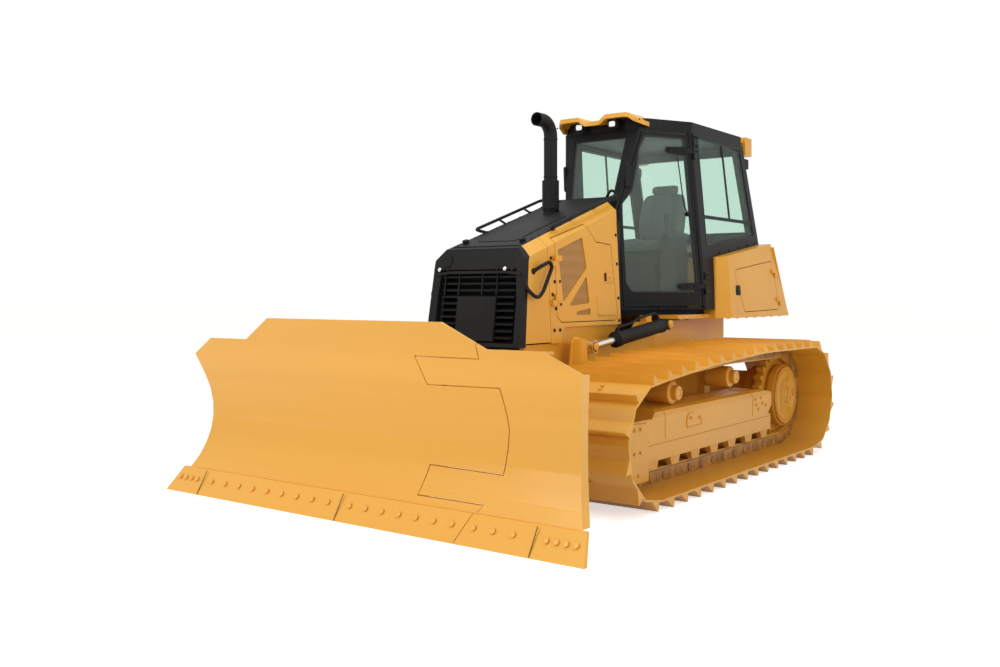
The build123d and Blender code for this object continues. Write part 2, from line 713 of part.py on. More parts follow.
side_ring = [(post_x(cab_floor_z) - 60, cab_floor_z), (post_x(cab_rail_z) - 60, cab_rail_z),
             (rear_high[0] + 5, cab_rail_z), (rear_low[0] + 5, rear_low[1]), (rear_low[0] + 5, on_tank(rear_low[0])),
             (shelf_x, on_tank(shelf_x)), (shelf_x, cab_floor_z)]
side_window = [(post_x(1735) - 110, 1735), (post_x(side_glass_top) - 110, side_glass_top),
               (rear_x_at(side_glass_top) + 75, side_glass_top),
               (rear_x_at(1860) + 75, 1860)]
side_window_r = 30.0
pane_r = 24.0
rear_side = wall(side_ring, rear_plane, cab_wall) - wall(side_window, rear_plane, cab_wall + 2, 2, side_window_r)
for s in both_sides(rear_side):
    cab_frame += s


def rear_wall(z):
    x = rear_x_at(z)
    return [(x, 560), (x + 45, 560), (x + 45, -560), (x, -560)]


cab_frame += column(rear_wall, [1786, rear_glass_z[0]]) + column(rear_wall, [rear_glass_z[1], cab_rail_z])
sill = plan_shape([(front_x_at(1200) - 5, 225), (post_foot[0], 632), (shelf_x, 632), (shelf_x, 560),
                   (post_foot[0], 550), (front_x_at(1200) - 60, 150)], cab_floor_z, cab_floor_z + 22)
roof_rail = plan_shape([(front_x_at(cab_rail_z - 20), 340), (post_x(cab_rail_z - 20), 585), (rear_high[0] + 20, 585),
                        (rear_high[0] + 20, 520), (post_x(cab_rail_z - 20) - 30, 510),
                        (front_x_at(cab_rail_z - 20) - 60, 262)],
                       cab_rail_z - 18, cab_rail_z)
for s in both_sides(sill) + both_sides(roof_rail):
    cab_frame += s

def hinge_axis(z):
    """Point of the cab door's hinge line, just outside the middle post."""
    return (post_x(z) + 8, rear_plane(0, z) + 10, z)


door_knuckles = []
for z in (1370, cab_rail_z - 180):
    x, y, _ = hinge_axis(z)
    skin = door_plane(x + 62, z)
    door_knuckles.append(bar(hinge_axis(z), hinge_axis(z + 44), 9) + plan_shape(
        [(x, y + 5), (x, y - 9), (x + 40, skin + 12), (x + 40, skin - 4), (x + 66, skin - 4),
         (x + 66, skin + 9)], z + 3, z + 41))
    x, y, _ = hinge_axis(z - 44)
    cab_frame += bar(hinge_axis(z - 44), hinge_axis(z - clear), 9) + plan_shape(
        [(x, y + 5), (x, y - 12), (x - 52, y - 14), (x - 52, y + 2)], z - 41, z - 3)
    cab_frame += mirrored(bar(hinge_axis(z - 44), hinge_axis(z - clear), 9) + plan_shape(
        [(x, y + 5), (x, y - 12), (x - 52, y - 14), (x - 52, y + 2)], z - 41, z - 3))
add("cab_frame", cab_frame)


def windshield_section(z):
    x = front_x_at(z) - 14
    half = windshield_half(z) - 14 * 30 / 48 - clear
    back = half - glass_t * 30 / 48
    return [(x, half), (x - glass_t, back), (x - glass_t, -back), (x, -half)]


def rear_glass_section(z):
    x = rear_x_at(z) + 16
    half = rear_plane(0, z) - 100 - clear
    return [(x, half), (x + glass_t, half), (x + glass_t, -half), (x, -half)]


side_pane = wall(inset(side_window, clear), rear_plane, glass_t + 12, 0, side_window_r - clear) - wall(
    inset(side_window, -20), rear_plane, 12, 1)
add("cab_glass", column(windshield_section, [windshield_z[0] + clear, windshield_z[1] - clear]), both_sides(side_pane),
    column(rear_glass_section, [rear_glass_z[0] + clear, rear_glass_z[1] - clear]))
floor_plate = plan_shape([(-170, 160), (post_foot[0], 540), (shelf_x + 8, 540), (shelf_x + 8, -540),
                          (post_foot[0], -540), (-170, -160)], cab_floor_z - 40, cab_floor_z - clear)
add("cab_floor", floor_plate)
roof_side_x = post_x(cab_rail_z + 40) - 15
roof_plan = [(-212, 240), (-285, 384), (roof_side_x, 588), (-1655, 588), (-1655, -588),
             (roof_side_x, -588), (-285, -384), (-212, -240)]
roof = plan_shape(roof_plan, cab_rail_z + clear, cab_roof_z)
add("cab_roof", roof)


def door_front(z):
    return front_x_at(z) - 24 - gap


leaf = [(door_front(1232), 1232), (door_front(2000), 2000), (door_front(door_top), door_top),
        (post_x(door_top) + 33, door_top),
        (post_x(1232) + 33, 1232)]
pane = [(-192, 1345), (door_front(1420) - 20, 1420), (door_front(2047) - 20, 2047), (-166, 2150), (-208, 2395),
        (door_front(2500) - 18, 2500), (-262, pane_top), (post_x(pane_top) + 66, pane_top), (post_x(1345) + 66, 1345)]
door = wall(leaf, door_plane, door_t) - wall(pane, door_plane, door_t + 2, 2, pane_r)
for knuckle in door_knuckles:
    door += knuckle
inner_pane = wall(inset(pane, clear), door_plane, glass_t + 12, 0, pane_r - clear) - wall(
    inset(pane, -20), door_plane, 12, 1)
add("cab_door_left", door)
add("cab_door_right", mirrored(door))
add("door_glass_left", inner_pane)
add("door_glass_right", mirrored(inner_pane))

# inside
shelf = side_shape([(x, tank_top(x) + h) for x, h in ((shelf_x + 8, clear), (shelf_x + 8, 46),
                                                    (rear_low[0] + 60, 40), (rear_low[0] + 60, clear))], -512, 512)
add("cab_shelf", shelf)
seat = side_shape([(-770, 1690), (-990, 1694), (-1240, 1738), (-1240, 1800), (-770, 1775)], -245, 245)
seat += side_shape([(-1180, 1740), (-1160, 1800), (-1240, 2130), (-1270, 2310), (-1330, 2310), (-1330, 1750)],
                   -225, 225)
seat += block(-960, -800, -160, 160, cab_floor_z + clear, 1700)
add("seat", seat)
for s in (1, -1):
    add("consoles", block(-960, -680, s * 290, s * 400, cab_floor_z + clear, 1800))
add("dashboard", block(-250, -170, -150, 150, cab_floor_z + clear, 1950))

# tank under and behind the cab
tank_side = [(shelf_x - clear, tank_z0), (shelf_x - clear, tank_front_top), tank_rear_top, tank_rear_foot]
tank_ends = [(-tank_half_w, 1000), (-tank_half_w + 45, 1900), (tank_half_w - 45, 1900), (tank_half_w, 1000)]
tank_corner = (95.0, 115.0)  # run and width of its front corners' chamfer
tank_plan = [(shelf_x, tank_half_w - tank_corner[1]), (shelf_x - tank_corner[0], tank_half_w + 5),
             (-2500, tank_half_w + 5), (-2500, -tank_half_w - 5),
             (shelf_x - tank_corner[0], -tank_half_w - 5), (shelf_x, tank_corner[1] - tank_half_w)]
tank = side_shape(tank_side, -tank_half_w, tank_half_w) & front_shape(tank_ends, -2500, 0)
tank &= plan_shape(tank_plan, 1000, 2000)
tank_leaf = [(-1366, 1176), (-1180, 1530), (-2008, 1628), (-2168, 1190)]
tank_leaf_r = 40.0
tank_side_span = (tank_half_w - 260, tank_half_w + 140)
tank_skin = tank - front_shape([(y - 36, z) for y, z in tank_ends[2:]] + [(-900, 1000), (-900, 1900)], -2500, 0)
tank_door = tank_skin & side_shape(tank_leaf, *tank_side_span, tank_leaf_r)
pocket = (tank & side_shape(inset(tank_leaf, -gap), *tank_side_span, tank_leaf_r + gap)) - front_shape(
    [(y - 70, z) for y, z in tank_ends[2:]] + [(-900, 1000), (-900, 1900)], -2500, 0)
tank -= pocket
tank_hinge = (-2180.0, tank_half_w + 0.5, 1190.0)
tank_hinge_dir = (160.0 / 438, -0.05, 1.0)


def tank_knuckle(rise, side):
    """Knuckle with its leaning flag; side 1 is the door's, side -1 the tank's."""
    p, q, foot = (Vector(*(c + d * at for c, d in zip(tank_hinge, tank_hinge_dir)))
                  for at in (rise, rise + 36 - clear, rise + 2))
    knuckle = bar(p, q, 8)
    for x0, x1, y0 in ((-2, 17, -5), (16, 58, -7.5), (36, 58, -14)):
        corners = [(x0, y0), (x0, 6), (x1, 6), (x1, y0)]
        plan = Face(Wire.make_polygon([foot + Vector(side * x, y, 0) for x, y in corners]))
        knuckle += Solid.extrude(plan, Vector(*tank_hinge_dir) * (32 - clear))
    return knuckle


for rise in (70, 330):
    tank_door += tank_knuckle(rise, 1)
    tank += tank_knuckle(rise - 36, -1)
add("fuel_tank", tank)
add("tank_door", tank_door)
rear_guard = side_shape([(tank_rear_top[0] - 1, 1760), (tank_rear_foot[0] - 5, tank_z0),
                         (tank_rear_foot[0] - 29, tank_z0), (tank_rear_top[0] - 30, 1760)],
                        -tank_half_w + 20, tank_half_w - 20) - side_shape(
    inset(tank_side, -clear), -tank_half_w, tank_half_w)
add("rear_guard", rear_guard)

# visor with a lobe over each pair of lamps, and the lamps
visor_plan = [(-62, 40), (-52, 110), (-62, 300), (-105, 345), (-240, 394), (-330, 394)]
visor_top = [(394, cab_roof_z - 30), (352, cab_roof_z - 7), (318, cab_roof_z + 25), (130, cab_roof_z + 25),
             (70, cab_roof_z - 18)]
visor_t = 12.0
lip = (20.0, 34.0)          # run and height of the lip along the visor's edge
visor_outer = visor_plan + [(x, -y) for x, y in visor_plan[::-1]]
visor_profile = visor_top + [(-y, z) for y, z in visor_top[::-1]]


def visor_band(depth, plan):
    """Sheet under the visor's profile, of a depth, over a plan outline."""
    low = [(y, z - depth) for y, z in visor_profile]
    return front_shape(visor_profile + low[::-1], -400, 0) & plan_shape(plan, cab_rail_z - 60, cab_rail_z + 140)


visor = visor_band(visor_t, visor_outer)
visor += visor_band(lip[1], visor_outer) - plan_shape(
    [(x - lip[0], y * (1 - lip[0] / 394)) for x, y in visor_outer], cab_rail_z - 60, cab_rail_z + 140)
visor -= plan_shape([(x + clear, y * 1.001) for x, y in roof_plan], cab_rail_z - 20, cab_roof_z + clear)
add("visor", visor)
for s in (1, -1):
    lamp = block(-168, -118, s * 118, s * 196, cab_rail_z + 4, cab_rail_z + 68)
    lamp += block(-212 + clear, -168, s * 130, s * 180, cab_rail_z + 12, cab_rail_z + 62)
    add("front_lamps", lamp)
    rear_lamp = block(-1888, -1742, s * 480, s * 592, cab_rail_z - 70, cab_rail_z + 92)
    rear_lamp += block(-1745, -1655 - clear, s * 500, s * 572, cab_rail_z + 40, cab_rail_z + 80)
    add("rear_lamps", rear_lamp)

# ---------------------------------------------------------------- lift frame
arm = side_shape([(lift_pivot[0] - 90, 540), (lift_pivot[0] - 90, 700), (900, 700), (1060, 650), (1560, 530),
                  (1560, 370), (1400, 380), (1000, 540)], arm_y0, arm_y1)
c_frame = arm + mirrored(arm)
c_frame += plan_shape([(1420, 575), (1560, 575), (2120, 150), (2120, -150), (1560, -575), (1420, -575),
                       (1420, -470), (1500, -455), (1950, -110), (1950, 110), (1500, 455), (1420, 470)], 370, 530)
c_frame += block(1600, 1740, -330, 330, 370, 530)
hub_r = 95.0
pin_r = 45.0
for z0 in (535, 330):
    c_frame += block(2030, ball[0], -hub_r, hub_r, z0, z0 + 35) + bar((ball[0], 0, z0), (ball[0], 0, z0 + 35), hub_r)
c_frame += block(2030, 2120, -hub_r, hub_r, 330, 570)
c_frame += bar((ball[0], 0, 340), (ball[0], 0, 560), pin_r)
tower = side_shape([(850, 690), (1060, 650), (1005, 1000), (960, 1035), (790, 1000), (775, 930), (810, 870)],
                   lift_y - eye_half - 3 - ear_t, lift_y - eye_half - 3)
tower_pin = bar((lift_eye[0], lift_y - eye_half - 10, lift_eye[1]),
                (lift_eye[0], lift_y + eye_half + 6, lift_eye[1]), lift_pin_end_r)
tower_cap = side_shape([(908, 680), (1002, 655), (1002, 1020), (930, 1020)], lift_y - eye_half - 4, arm_y1)
for s in both_sides(tower + tower_pin + tower_cap):
    c_frame += s
for s in (1, -1):
    c_frame += block(angle_anchor[0] - 40, angle_anchor[0] + 40, s * (angle_anchor[1] - 45), s * (angle_anchor[1] + 45),
                     525, angle_anchor[2] - 34)
    c_frame += bar((angle_anchor[0], s * angle_anchor[1], 530), (angle_anchor[0], s * angle_anchor[1], angle_anchor[2] + 40), 20)
c_frame -= bar((lift_pivot[0], -700, lift_pivot[1]), (lift_pivot[0], 700, lift_pivot[1]), lift_pin_r + clear)
add("c_frame", c_frame)

# angle head: turns on the lift frame's pin and carries the blade's tilt pin
head = bar((ball[0], 0, 367), (ball[0], 0, 533), hub_r) - bar((ball[0], 0, 360), (ball[0], 0, 540), pin_r + clear)
head += block(ball[0] + 70, 2335, -90, 90, 370, 530)
head += block(2330, blade_rear_x - gap, -470, 470, 370, 530)
head += block(2345, blade_rear_x - gap, 340, 460, 370, 860)
head += bar((2340, 0, ball[1]), (2400, 0, ball[1]), 60)
head -= bar((ball[0], 0, 300), (ball[0], 0, 600), pin_r + clear)
for s in (1, -1):
    head += block(angle_eye[0] - 40, 2335, s * (angle_eye[1] - 50), s * (angle_eye[1] + 50), 500, angle_eye[2] - 34)
    head += block(2330, blade_rear_x - gap, s * (angle_eye[1] - 50), s * (angle_eye[1] + 50), 400, 581)
    head += bar((angle_eye[0], s * angle_eye[1], 560), (angle_eye[0], s * angle_eye[1], angle_eye[2] + 36), ram_pin_r)
head += bar((tilt_x - 30, tilt_anchor[0], tilt_anchor[1]), (2350, tilt_anchor[0], tilt_anchor[1]), 20)
add("angle_head", head)

# ---------------------------------------------------------------- blade
tangent = math.asin((straight_z - moldboard_c[1]) / moldboard_r)


def moldboard_front(z):
    """x of the moldboard's front face: an arc, and a straight run above it."""
    if z <= straight_z:
        return moldboard_c[0] - math.sqrt(moldboard_r ** 2 - (z - moldboard_c[1]) ** 2)
    return moldboard_c[0] - moldboard_r * math.cos(tangent) + (z - straight_z) * math.tan(tangent)


def end_half_w(z):
    """Half width of the blade, which narrows where the moldboard is hollow."""
    return blade_half_w - end_slant * (moldboard_front(chamfer_z) - moldboard_front(z))


levels = [moldboard_foot_z, 230, 310, 400, 490, 580, 680, straight_z, blade_top_z]
end_levels = levels[:-1] + [chamfer_z]
front = [(moldboard_front(z), z) for z in levels]
back = [(x - moldboard_t * 1.1, z) for x, z in front]
half_outline = [(end_half_w(z), z) for z in end_levels] + [(1350, shoulder_z), (985, shoulder_z), (715, blade_top_z)]
outline = half_outline + [(-y, z) for y, z in half_outline[::-1]]
moldboard = side_shape(front + back[::-1], -blade_reach, blade_reach) & front_shape(outline, 2300, 2900)
band = [(end_half_w(z), z) for z in end_levels] + [(end_half_w(z) - end_plate_t, z) for z in end_levels[::-1]]
end_plate = front_shape(band, 2300, 2900) & side_shape(
    [(moldboard_front(z) - end_plate_depth, z) for z in end_levels]
    + [(moldboard_front(z) - moldboard_t, z) for z in end_levels[::-1]], 1300, blade_reach)


def seam(shift):
    """Inner edge of the folding end, moved outboard by shift."""
    s = shift
    return [(925 + s, 1200), (925 + s, 985 - s), (462 + s, 985 - s), (505 + s, 815 + s), (1022 + s, 822 + s),
            (1046 + s, 600), (1022 + s, 355 - s), (498 + s, 360 - s), (462 + s, 188 + s), (940 + s, 188 + s),
            (900 + s, 140), (830 + s, -50), (blade_reach + 100, -50), (blade_reach + 100, 1200)]


def rib(y, z0, z1, deep_x):
    """Upright plate behind the moldboard between two heights."""
    zs = [z0] + [z for z in levels if z0 < z < z1] + [z1]
    skin_back = [(moldboard_front(z) - moldboard_t, z) for z in zs]
    rear = [(deep_x + 50, z1), (deep_x, z1 - 50), (deep_x, z0 + 50), (deep_x + 50, z0)]
    return side_shape(skin_back + rear, y - 10, y + 10)


wing_cut = front_shape(seam(gap), 2200, 2900)
centre_cut = front_shape(seam(0), 2200, 2900)
skin_back = side_shape([(moldboard_front(z) - moldboard_t, z) for z in levels]
                       + [(2900, levels[-1]), (2900, levels[0])], -blade_reach, blade_reach)
outer_rib_y = 1430.0
step = (1016, 1030)         # heights of the step plates behind the top edge
step_x = moldboard_front(step[0]) - 10
blade = (moldboard - centre_cut) + mirrored(end_plate)
for y in (-outer_rib_y, -1100, -640, -200, 200, 440):
    blade += rib(y, 160, 900, blade_rear_x)
for y in (730, 990):
    blade += rib(y, 400, 800, blade_rear_x)
for z0, z1, y1 in ((690, 720, 1000), (430, 460, 1000), (840, 860, 450)):
    blade += block(blade_rear_x + 4, 2560, -outer_rib_y - 10, y1, z0, z1) - skin_back
blade += block(blade_rear_x, 2480, -200, 200, 330, 640) - skin_back
blade += block(step_x - 118, step_x, -1340, -1000, *step)
for z0 in (470, 640):
    blade += bar((wing_pivot[0], wing_pivot[1], z0), (wing_pivot[0], wing_pivot[1], z0 + 90), knuckle_r)
    blade += block(blade_rear_x, wing_pivot[0] + 20, 985, wing_pivot[1] - 5, z0, z0 + 90)
blade += block(2345, blade_rear_x + 90, tilt_eye[0] - 45, tilt_eye[0] + 45, 700, 850) - skin_back
blade += bar((tilt_x - 26, tilt_eye[0], tilt_eye[1]), (blade_rear_x + 30, tilt_eye[0], tilt_eye[1]), 20)
blade -= bar((2300, 0, ball[1]), (2402, 0, ball[1]), 60 + clear)
blade -= bar((wing_pivot[0], wing_pivot[1], 300), (wing_pivot[0], wing_pivot[1], 1000), wing_pin_r + clear)
add("blade", blade)

wing = (moldboard + end_plate) & wing_cut
for y in (1180, outer_rib_y):
    wing += rib(y, 160, 880, blade_rear_x)
for z0, z1 in ((690, 720), (430, 460), (200, 230), (840, 860)):
    wing += block(blade_rear_x + 4, 2560, 1172, outer_rib_y + 10, z0, z1) - skin_back
wing += block(step_x - 118, step_x, 1000, 1340, *step)
for z0, z1 in ((280, 464), (736, 880)):
    wing += bar((wing_pivot[0], wing_pivot[1], z0), (wing_pivot[0], wing_pivot[1], z1), knuckle_r)
    wing += block(blade_rear_x + 4, wing_pivot[0] + 20, wing_pivot[1] + 5, 1190, z0, z1)
wing += bar((wing_pivot[0], wing_pivot[1], 300), (wing_pivot[0], wing_pivot[1], 870), wing_pin_r)
add("blade_wing", wing)
foot_x = moldboard_front(moldboard_foot_z)
edge = side_shape([(foot_x + clear + edge_t, moldboard_foot_z), (edge_tip_x, 0), (edge_tip_x - edge_t, 0),
                   (foot_x + clear, moldboard_foot_z)], -edge_half_w, edge_half_w)
edge &= front_shape([(-edge_half_w, 0), (-edge_half_w + edge_taper, moldboard_foot_z),
                     (edge_half_w - edge_taper, moldboard_foot_z), (edge_half_w, 0)], 2500, 2800)
edge -= side_shape([(x - 30, z) for x, z in front] + [(x + clear, z) for x, z in front[::-1]],
                   -blade_reach, blade_reach)
add("cutting_edge", edge - centre_cut)
add("wing_edge", edge & wing_cut)


# ---------------------------------------------------------------- cylinders
def ram(anchor, eye, barrel_r, barrel_len, rod_r, rod_start, pin, axis, half):
    """Barrel with a rear eye on its pin, and a rod with an open eye at the far pin."""
    a, b = Vector(*anchor), Vector(*eye)
    d = (b - a).normalized()
    side = Vector(*axis) * half
    barrel = bar(a + d * 60, a + d * barrel_len, barrel_r)
    barrel += bar(a + d * (barrel_len - 55), a + d * barrel_len, barrel_r + 7)
    barrel += bar(a - side, a + side, pin + 20) + bar(a, a + d * 70, half - 2)
    barrel -= bar(a - side * 2, a + side * 2, pin + clear)
    barrel -= bar(a + d * 95, a + d * (barrel_len + 1), rod_r + clear)
    piston = bar(a + d * rod_start, b, rod_r) + bar(b - side, b + side, rod_eye_r)
    piston -= bar(b - side * 2, b + side * 2, rod_bore_r)
    return barrel, piston


def lift_pipe(y):
    """Oil pipe on top of a lift barrel, from the port at its head back to its foot."""
    reach = math.dist(lift_anchor, lift_eye)
    along = ((lift_eye[0] - lift_anchor[0]) / reach, (lift_eye[1] - lift_anchor[1]) / reach)

    def place(run, up):
        return (lift_anchor[0] + along[0] * run - along[1] * up, y, lift_anchor[1] + along[1] * run + along[0] * up)

    pipe = rod([place(760, 40), place(760, 78), place(700, 84), place(560, 84), place(420, 110), place(180, 112),
                place(130, 92), place(130, 40)], 10)
    return pipe + bar(place(760, 40), place(760, 70), 17) + bar(place(130, 40), place(130, 76), 17)


for s, name in ((1, "left"), (-1, "right")):
    barrel, rod_body = ram((lift_anchor[0], s * lift_y, lift_anchor[1]), (lift_eye[0], s * lift_y, lift_eye[1]),
                           52, 800, 27, 470, anchor_pin_r, (0, 1, 0), eye_half)
    barrel += lift_pipe(s * lift_y)
    add("lift_barrel_" + name, barrel)
    add("lift_rod_" + name, rod_body)
    barrel, rod_body = ram((angle_anchor[0], s * angle_anchor[1], angle_anchor[2]),
                      (angle_eye[0], s * angle_eye[1], angle_eye[2]), 40, 425, 22, 262, 20, (0, 0, 1), 28)
    add("angle_barrel_" + name, barrel)
    add("angle_rod_" + name, rod_body)
barrel, rod_body = ram((tilt_x, *tilt_anchor), (tilt_x, *tilt_eye), 38, 430, 20, 190, 20, (1, 0, 0), 24)
add("tilt_barrel", barrel)
add("tilt_rod", rod_body)

if __name__ == "__main__":
    os.makedirs("parts", exist_ok=True)
    for name, solids in nodes.items():
        shape = solids[0] if len(solids) == 1 else Compound(children=solids)
        moved = Pos(-origin_x, 0, 0) * shape
        export_step(moved, "parts/" + name + ".step")
    print(len(nodes), "nodes; track pitch", round(shoe_pitch, 2), "origin_x", origin_x)
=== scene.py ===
import math

import bmesh
import bpy
from mathutils import Matrix, Vector


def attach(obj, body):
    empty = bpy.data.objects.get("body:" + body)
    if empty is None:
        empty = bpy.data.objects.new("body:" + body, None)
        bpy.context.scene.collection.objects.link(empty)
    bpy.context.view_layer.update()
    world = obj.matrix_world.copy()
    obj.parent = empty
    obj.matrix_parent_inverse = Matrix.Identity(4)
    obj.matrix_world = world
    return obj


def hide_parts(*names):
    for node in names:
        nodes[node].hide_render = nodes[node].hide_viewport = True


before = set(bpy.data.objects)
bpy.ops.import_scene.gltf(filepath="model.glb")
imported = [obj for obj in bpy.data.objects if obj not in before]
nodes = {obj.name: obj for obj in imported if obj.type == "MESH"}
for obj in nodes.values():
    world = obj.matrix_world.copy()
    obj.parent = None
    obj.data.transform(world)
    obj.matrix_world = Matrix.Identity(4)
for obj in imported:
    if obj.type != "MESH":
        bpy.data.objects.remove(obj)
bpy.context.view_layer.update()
bpy.context.scene.view_settings.view_transform = "Standard"

# ---------- camera
# The machine stands three-quarter on to the camera, blade toward it. The camera is level, at
# the height of the engine and some eight metres off.
def put(name, data):
    """A new object in the scene."""
    made = bpy.data.objects.new(name, data)
    bpy.context.scene.collection.objects.link(made)
    return made


camera_data = bpy.data.cameras.new("camera")
camera_data.lens = 36.07
camera_data.sensor_width = 36.0
camera_data.shift_x = -0.01437
camera_data.shift_y = -0.04075
camera_data.clip_end = 100.0
camera = put("camera", camera_data)
camera.location = (6.6855, 4.278, 1.340)
camera.rotation_euler = (math.radians(90), 0, math.radians(126.2245))
bpy.context.scene.camera = camera


# ---------- floor, surround and lamps
# A pale studio floor that runs out into a white surround. Big soft lamps hang overhead and
# stand to the front and to the machine's left.
class Value:
    """A number or colour socket of a material, written as plain maths."""

    def __init__(self, tree, socket):
        self.tree = tree
        self.socket = socket

    def maths(self, kind, first, second):
        """A maths node on two numbers or sockets."""
        node = self.tree.nodes.new("ShaderNodeMath")
        node.operation = kind
        for slot, entry in enumerate((first, second)):
            if isinstance(entry, Value):
                self.tree.links.new(entry.socket, node.inputs[slot])
            else:
                node.inputs[slot].default_value = entry
        return Value(self.tree, node.outputs[0])

    def __add__(self, other):
        return self.maths("ADD", self, other)

    def __rsub__(self, other):
        return self.maths("SUBTRACT", other, self)

    def __mul__(self, other):
        return self.maths("MULTIPLY", self, other)

    def ramp(self, low, high):
        """0 below low, 1 above high, smooth between."""
        node = self.tree.nodes.new("ShaderNodeMapRange")
        node.interpolation_type = "SMOOTHSTEP"
        self.tree.links.new(self.socket, node.inputs["Value"])
        node.inputs["From Min"].default_value = low
        node.inputs["From Max"].default_value = high
        return Value(self.tree, node.outputs["Result"])


class Finish:
    """A material under construction: its nodes, and the object coordinates they read."""

    def __init__(self, name, tree=None):
        if tree is None:
            self.material = bpy.data.materials.new(name)
            self.material.use_nodes = True
            tree = self.material.node_tree
        self.tree = tree
        tree.nodes.clear()

    def node(self, kind, settings=None, out=0, **sockets):
        """A node with its sockets filled, by name or as _ and a number; gives its output out."""
        made = self.tree.nodes.new(kind)
        for key, entry in (settings or {}).items():
            setattr(made, key, entry)
        for key, entry in sockets.items():
            socket = made.inputs[int(key[1:])] if key[0] == "_" else made.inputs[key.replace("_", " ")]
            if isinstance(entry, Value):
                self.tree.links.new(entry.socket, socket)
            elif isinstance(entry, tuple) and socket.type == "RGBA":
                socket.default_value = (*entry, 1.0)
            else:
                socket.default_value = entry
        return Value(self.tree, made.outputs[out]) if len(made.outputs) else None

    def place(self):
        return self.node("ShaderNodeTexCoord", out="Object")

    def height(self):
        return self.node("ShaderNodeSeparateXYZ", Vector=self.place(), out=2)

    def noise(self, scale, detail=3.0, rough=0.5, stretch=(1.0, 1.0, 1.0)):
        where = self.node("ShaderNodeMapping", Vector=self.place(), Scale=stretch)
        return self.node("ShaderNodeTexNoise", Vector=where, Scale=scale, Detail=detail, Roughness=rough)

    def mix(self, amount, first, second):
        """Colour first where amount is 0 and second where it is 1."""
        return self.node("ShaderNodeMix", {"data_type": "RGBA"}, 2, _0=amount, _6=first, _7=second)

    def bump(self, height, strength, distance):
        return self.node("ShaderNodeBump", Height=height, Strength=strength, Distance=distance)

    def end(self, shader):
        """Ends the material in this shader."""
        self.node("ShaderNodeOutputMaterial", Surface=shader)
        return self.material

    def done(self, **sockets):
        return self.end(self.node("ShaderNodeBsdfPrincipled", **sockets))


def seen(finish):
    """1 for the camera's view, also by reflection or through glass, and 0 for lighting."""
    sight = finish.tree.nodes.new("ShaderNodeLightPath")
    camera_ray, glossy_ray, through_ray = [
        Value(finish.tree, sight.outputs[kind])
        for kind in ("Is Camera Ray", "Is Glossy Ray", "Is Transmission Ray")]
    return camera_ray + glossy_ray + through_ray


ground = bpy.data.meshes.new("ground")
far = 60
ground.from_pydata([(-far, -far, 0), (far, -far, 0), (far, far, 0), (-far, far, 0)], [], [(0, 1, 2, 3)])
floor = put("floor", ground)
pale = Finish("pale_floor")
pale_body = pale.node("ShaderNodeBsdfDiffuse", Color=(0.86, 0.85, 0.84))
pale_glow = pale.node("ShaderNodeEmission", Color=(1.0, 1.0, 1.0), Strength=seen(pale) * 0.6)
ground.materials.append(pale.end(pale.node("ShaderNodeAddShader", _0=pale_body, _1=pale_glow)))

world = bpy.data.worlds.new("surround")
bpy.context.scene.world = world
world.use_nodes = True
sky = Finish("surround", world.node_tree)
sky_light = sky.node("ShaderNodeBackground", Color=(1.0, 0.97, 0.93), Strength=0.5)
sky_white = sky.node("ShaderNodeBackground", Color=(1.0, 1.0, 1.0), Strength=1.0)
sky_both = sky.node("ShaderNodeMixShader", _0=seen(sky), _1=sky_light, _2=sky_white)
sky.node("ShaderNodeOutputWorld", Surface=sky_both)


def lamp(name, place, aim, size, power):
    """Soft oblong lamp, aimed at a point."""
    data = bpy.data.lights.new(name, "AREA")
    data.shape = "RECTANGLE"
    data.size, data.size_y = size
    data.energy = power
    obj = put(name, data)
    obj.location = place
    obj.rotation_euler = (Vector(aim) - Vector(place)).to_track_quat("-Z", "Y").to_euler()


lamp("overhead", (1.0, 1.0, 8.0), (0, 0, 0.8), (7.0, 7.0), 230)
lamp("front", (8.5, -1.0, 4.0), (0, 0, 1.0), (5.0, 4.0), 225)
lamp("near_side", (1.5, 8.5, 4.0), (0, 0, 1.0), (6.0, 4.0), 165)


# ---------- main frame and lift anchors
# Two deep plate sides under the engine, with a nose cross-member, the belly plates, the pins
# that the lift frame hangs on and the anchors of its cylinders. Welded steel in yellow enamel.
# Darker brown that the enamel is drawn towards near the ground, in patches.
ground_brown = (0.56, 0.31, 0.075)


def enamel(name, light, dark, ground_darkening=0.25):
    """Thick warm yellow enamel with a slight orange peel, darker and browner in patches towards the ground.
    """
    new = Finish(name)
    cloud = new.noise(1.3, 4.0, 0.6).ramp(0.35, 0.7)
    low = (1 - new.height().ramp(0.0, 0.6)) * cloud * ground_darkening
    tone = new.mix(low, new.mix(cloud, dark, light), ground_brown)
    return new.done(Base_Color=tone, Roughness=new.noise(420.0, 2.0) * 0.08 + 0.36, Coat_Weight=0.12,
                    Coat_Roughness=0.1, Specular_IOR_Level=0.35,
                    Normal=new.bump(new.noise(95.0, 2.0), 0.1, 0.001))


def paint(material, *names):
    """Gives these solids their finish."""
    for name in names:
        mesh = nodes[name].data
        if len(mesh.materials) == 0:
            mesh.materials.append(material)
        for k in range(len(mesh.materials)):
            mesh.materials[k] = material


yellow = enamel("yellow_enamel", (0.84, 0.42, 0.04), (0.79, 0.385, 0.034))
paint(yellow, "main_frame")

origin = 150.5              # the drawing's X of the row frame's origin, in millimetres


def at(x, y, z):
    """Point from the drawing's millimetres to the row frame's metres."""
    return Vector(((x - origin) / 1000, y / 1000, z / 1000))


def rect(u_first, u_last, v_first, v_last):
    """Corners of a rectangle, in order."""
    return (u_first, v_first), (u_last, v_first), (u_last, v_last), (u_first, v_last)


def circle(middle, side, third, radius, count):
    """Points round a middle in the plane of two directions, the radius in millimetres."""
    turns = [2 * math.pi * k / count for k in range(count)]
    return [middle + (side * math.cos(a) + third * math.sin(a)) * (radius / 1000) for a in turns]


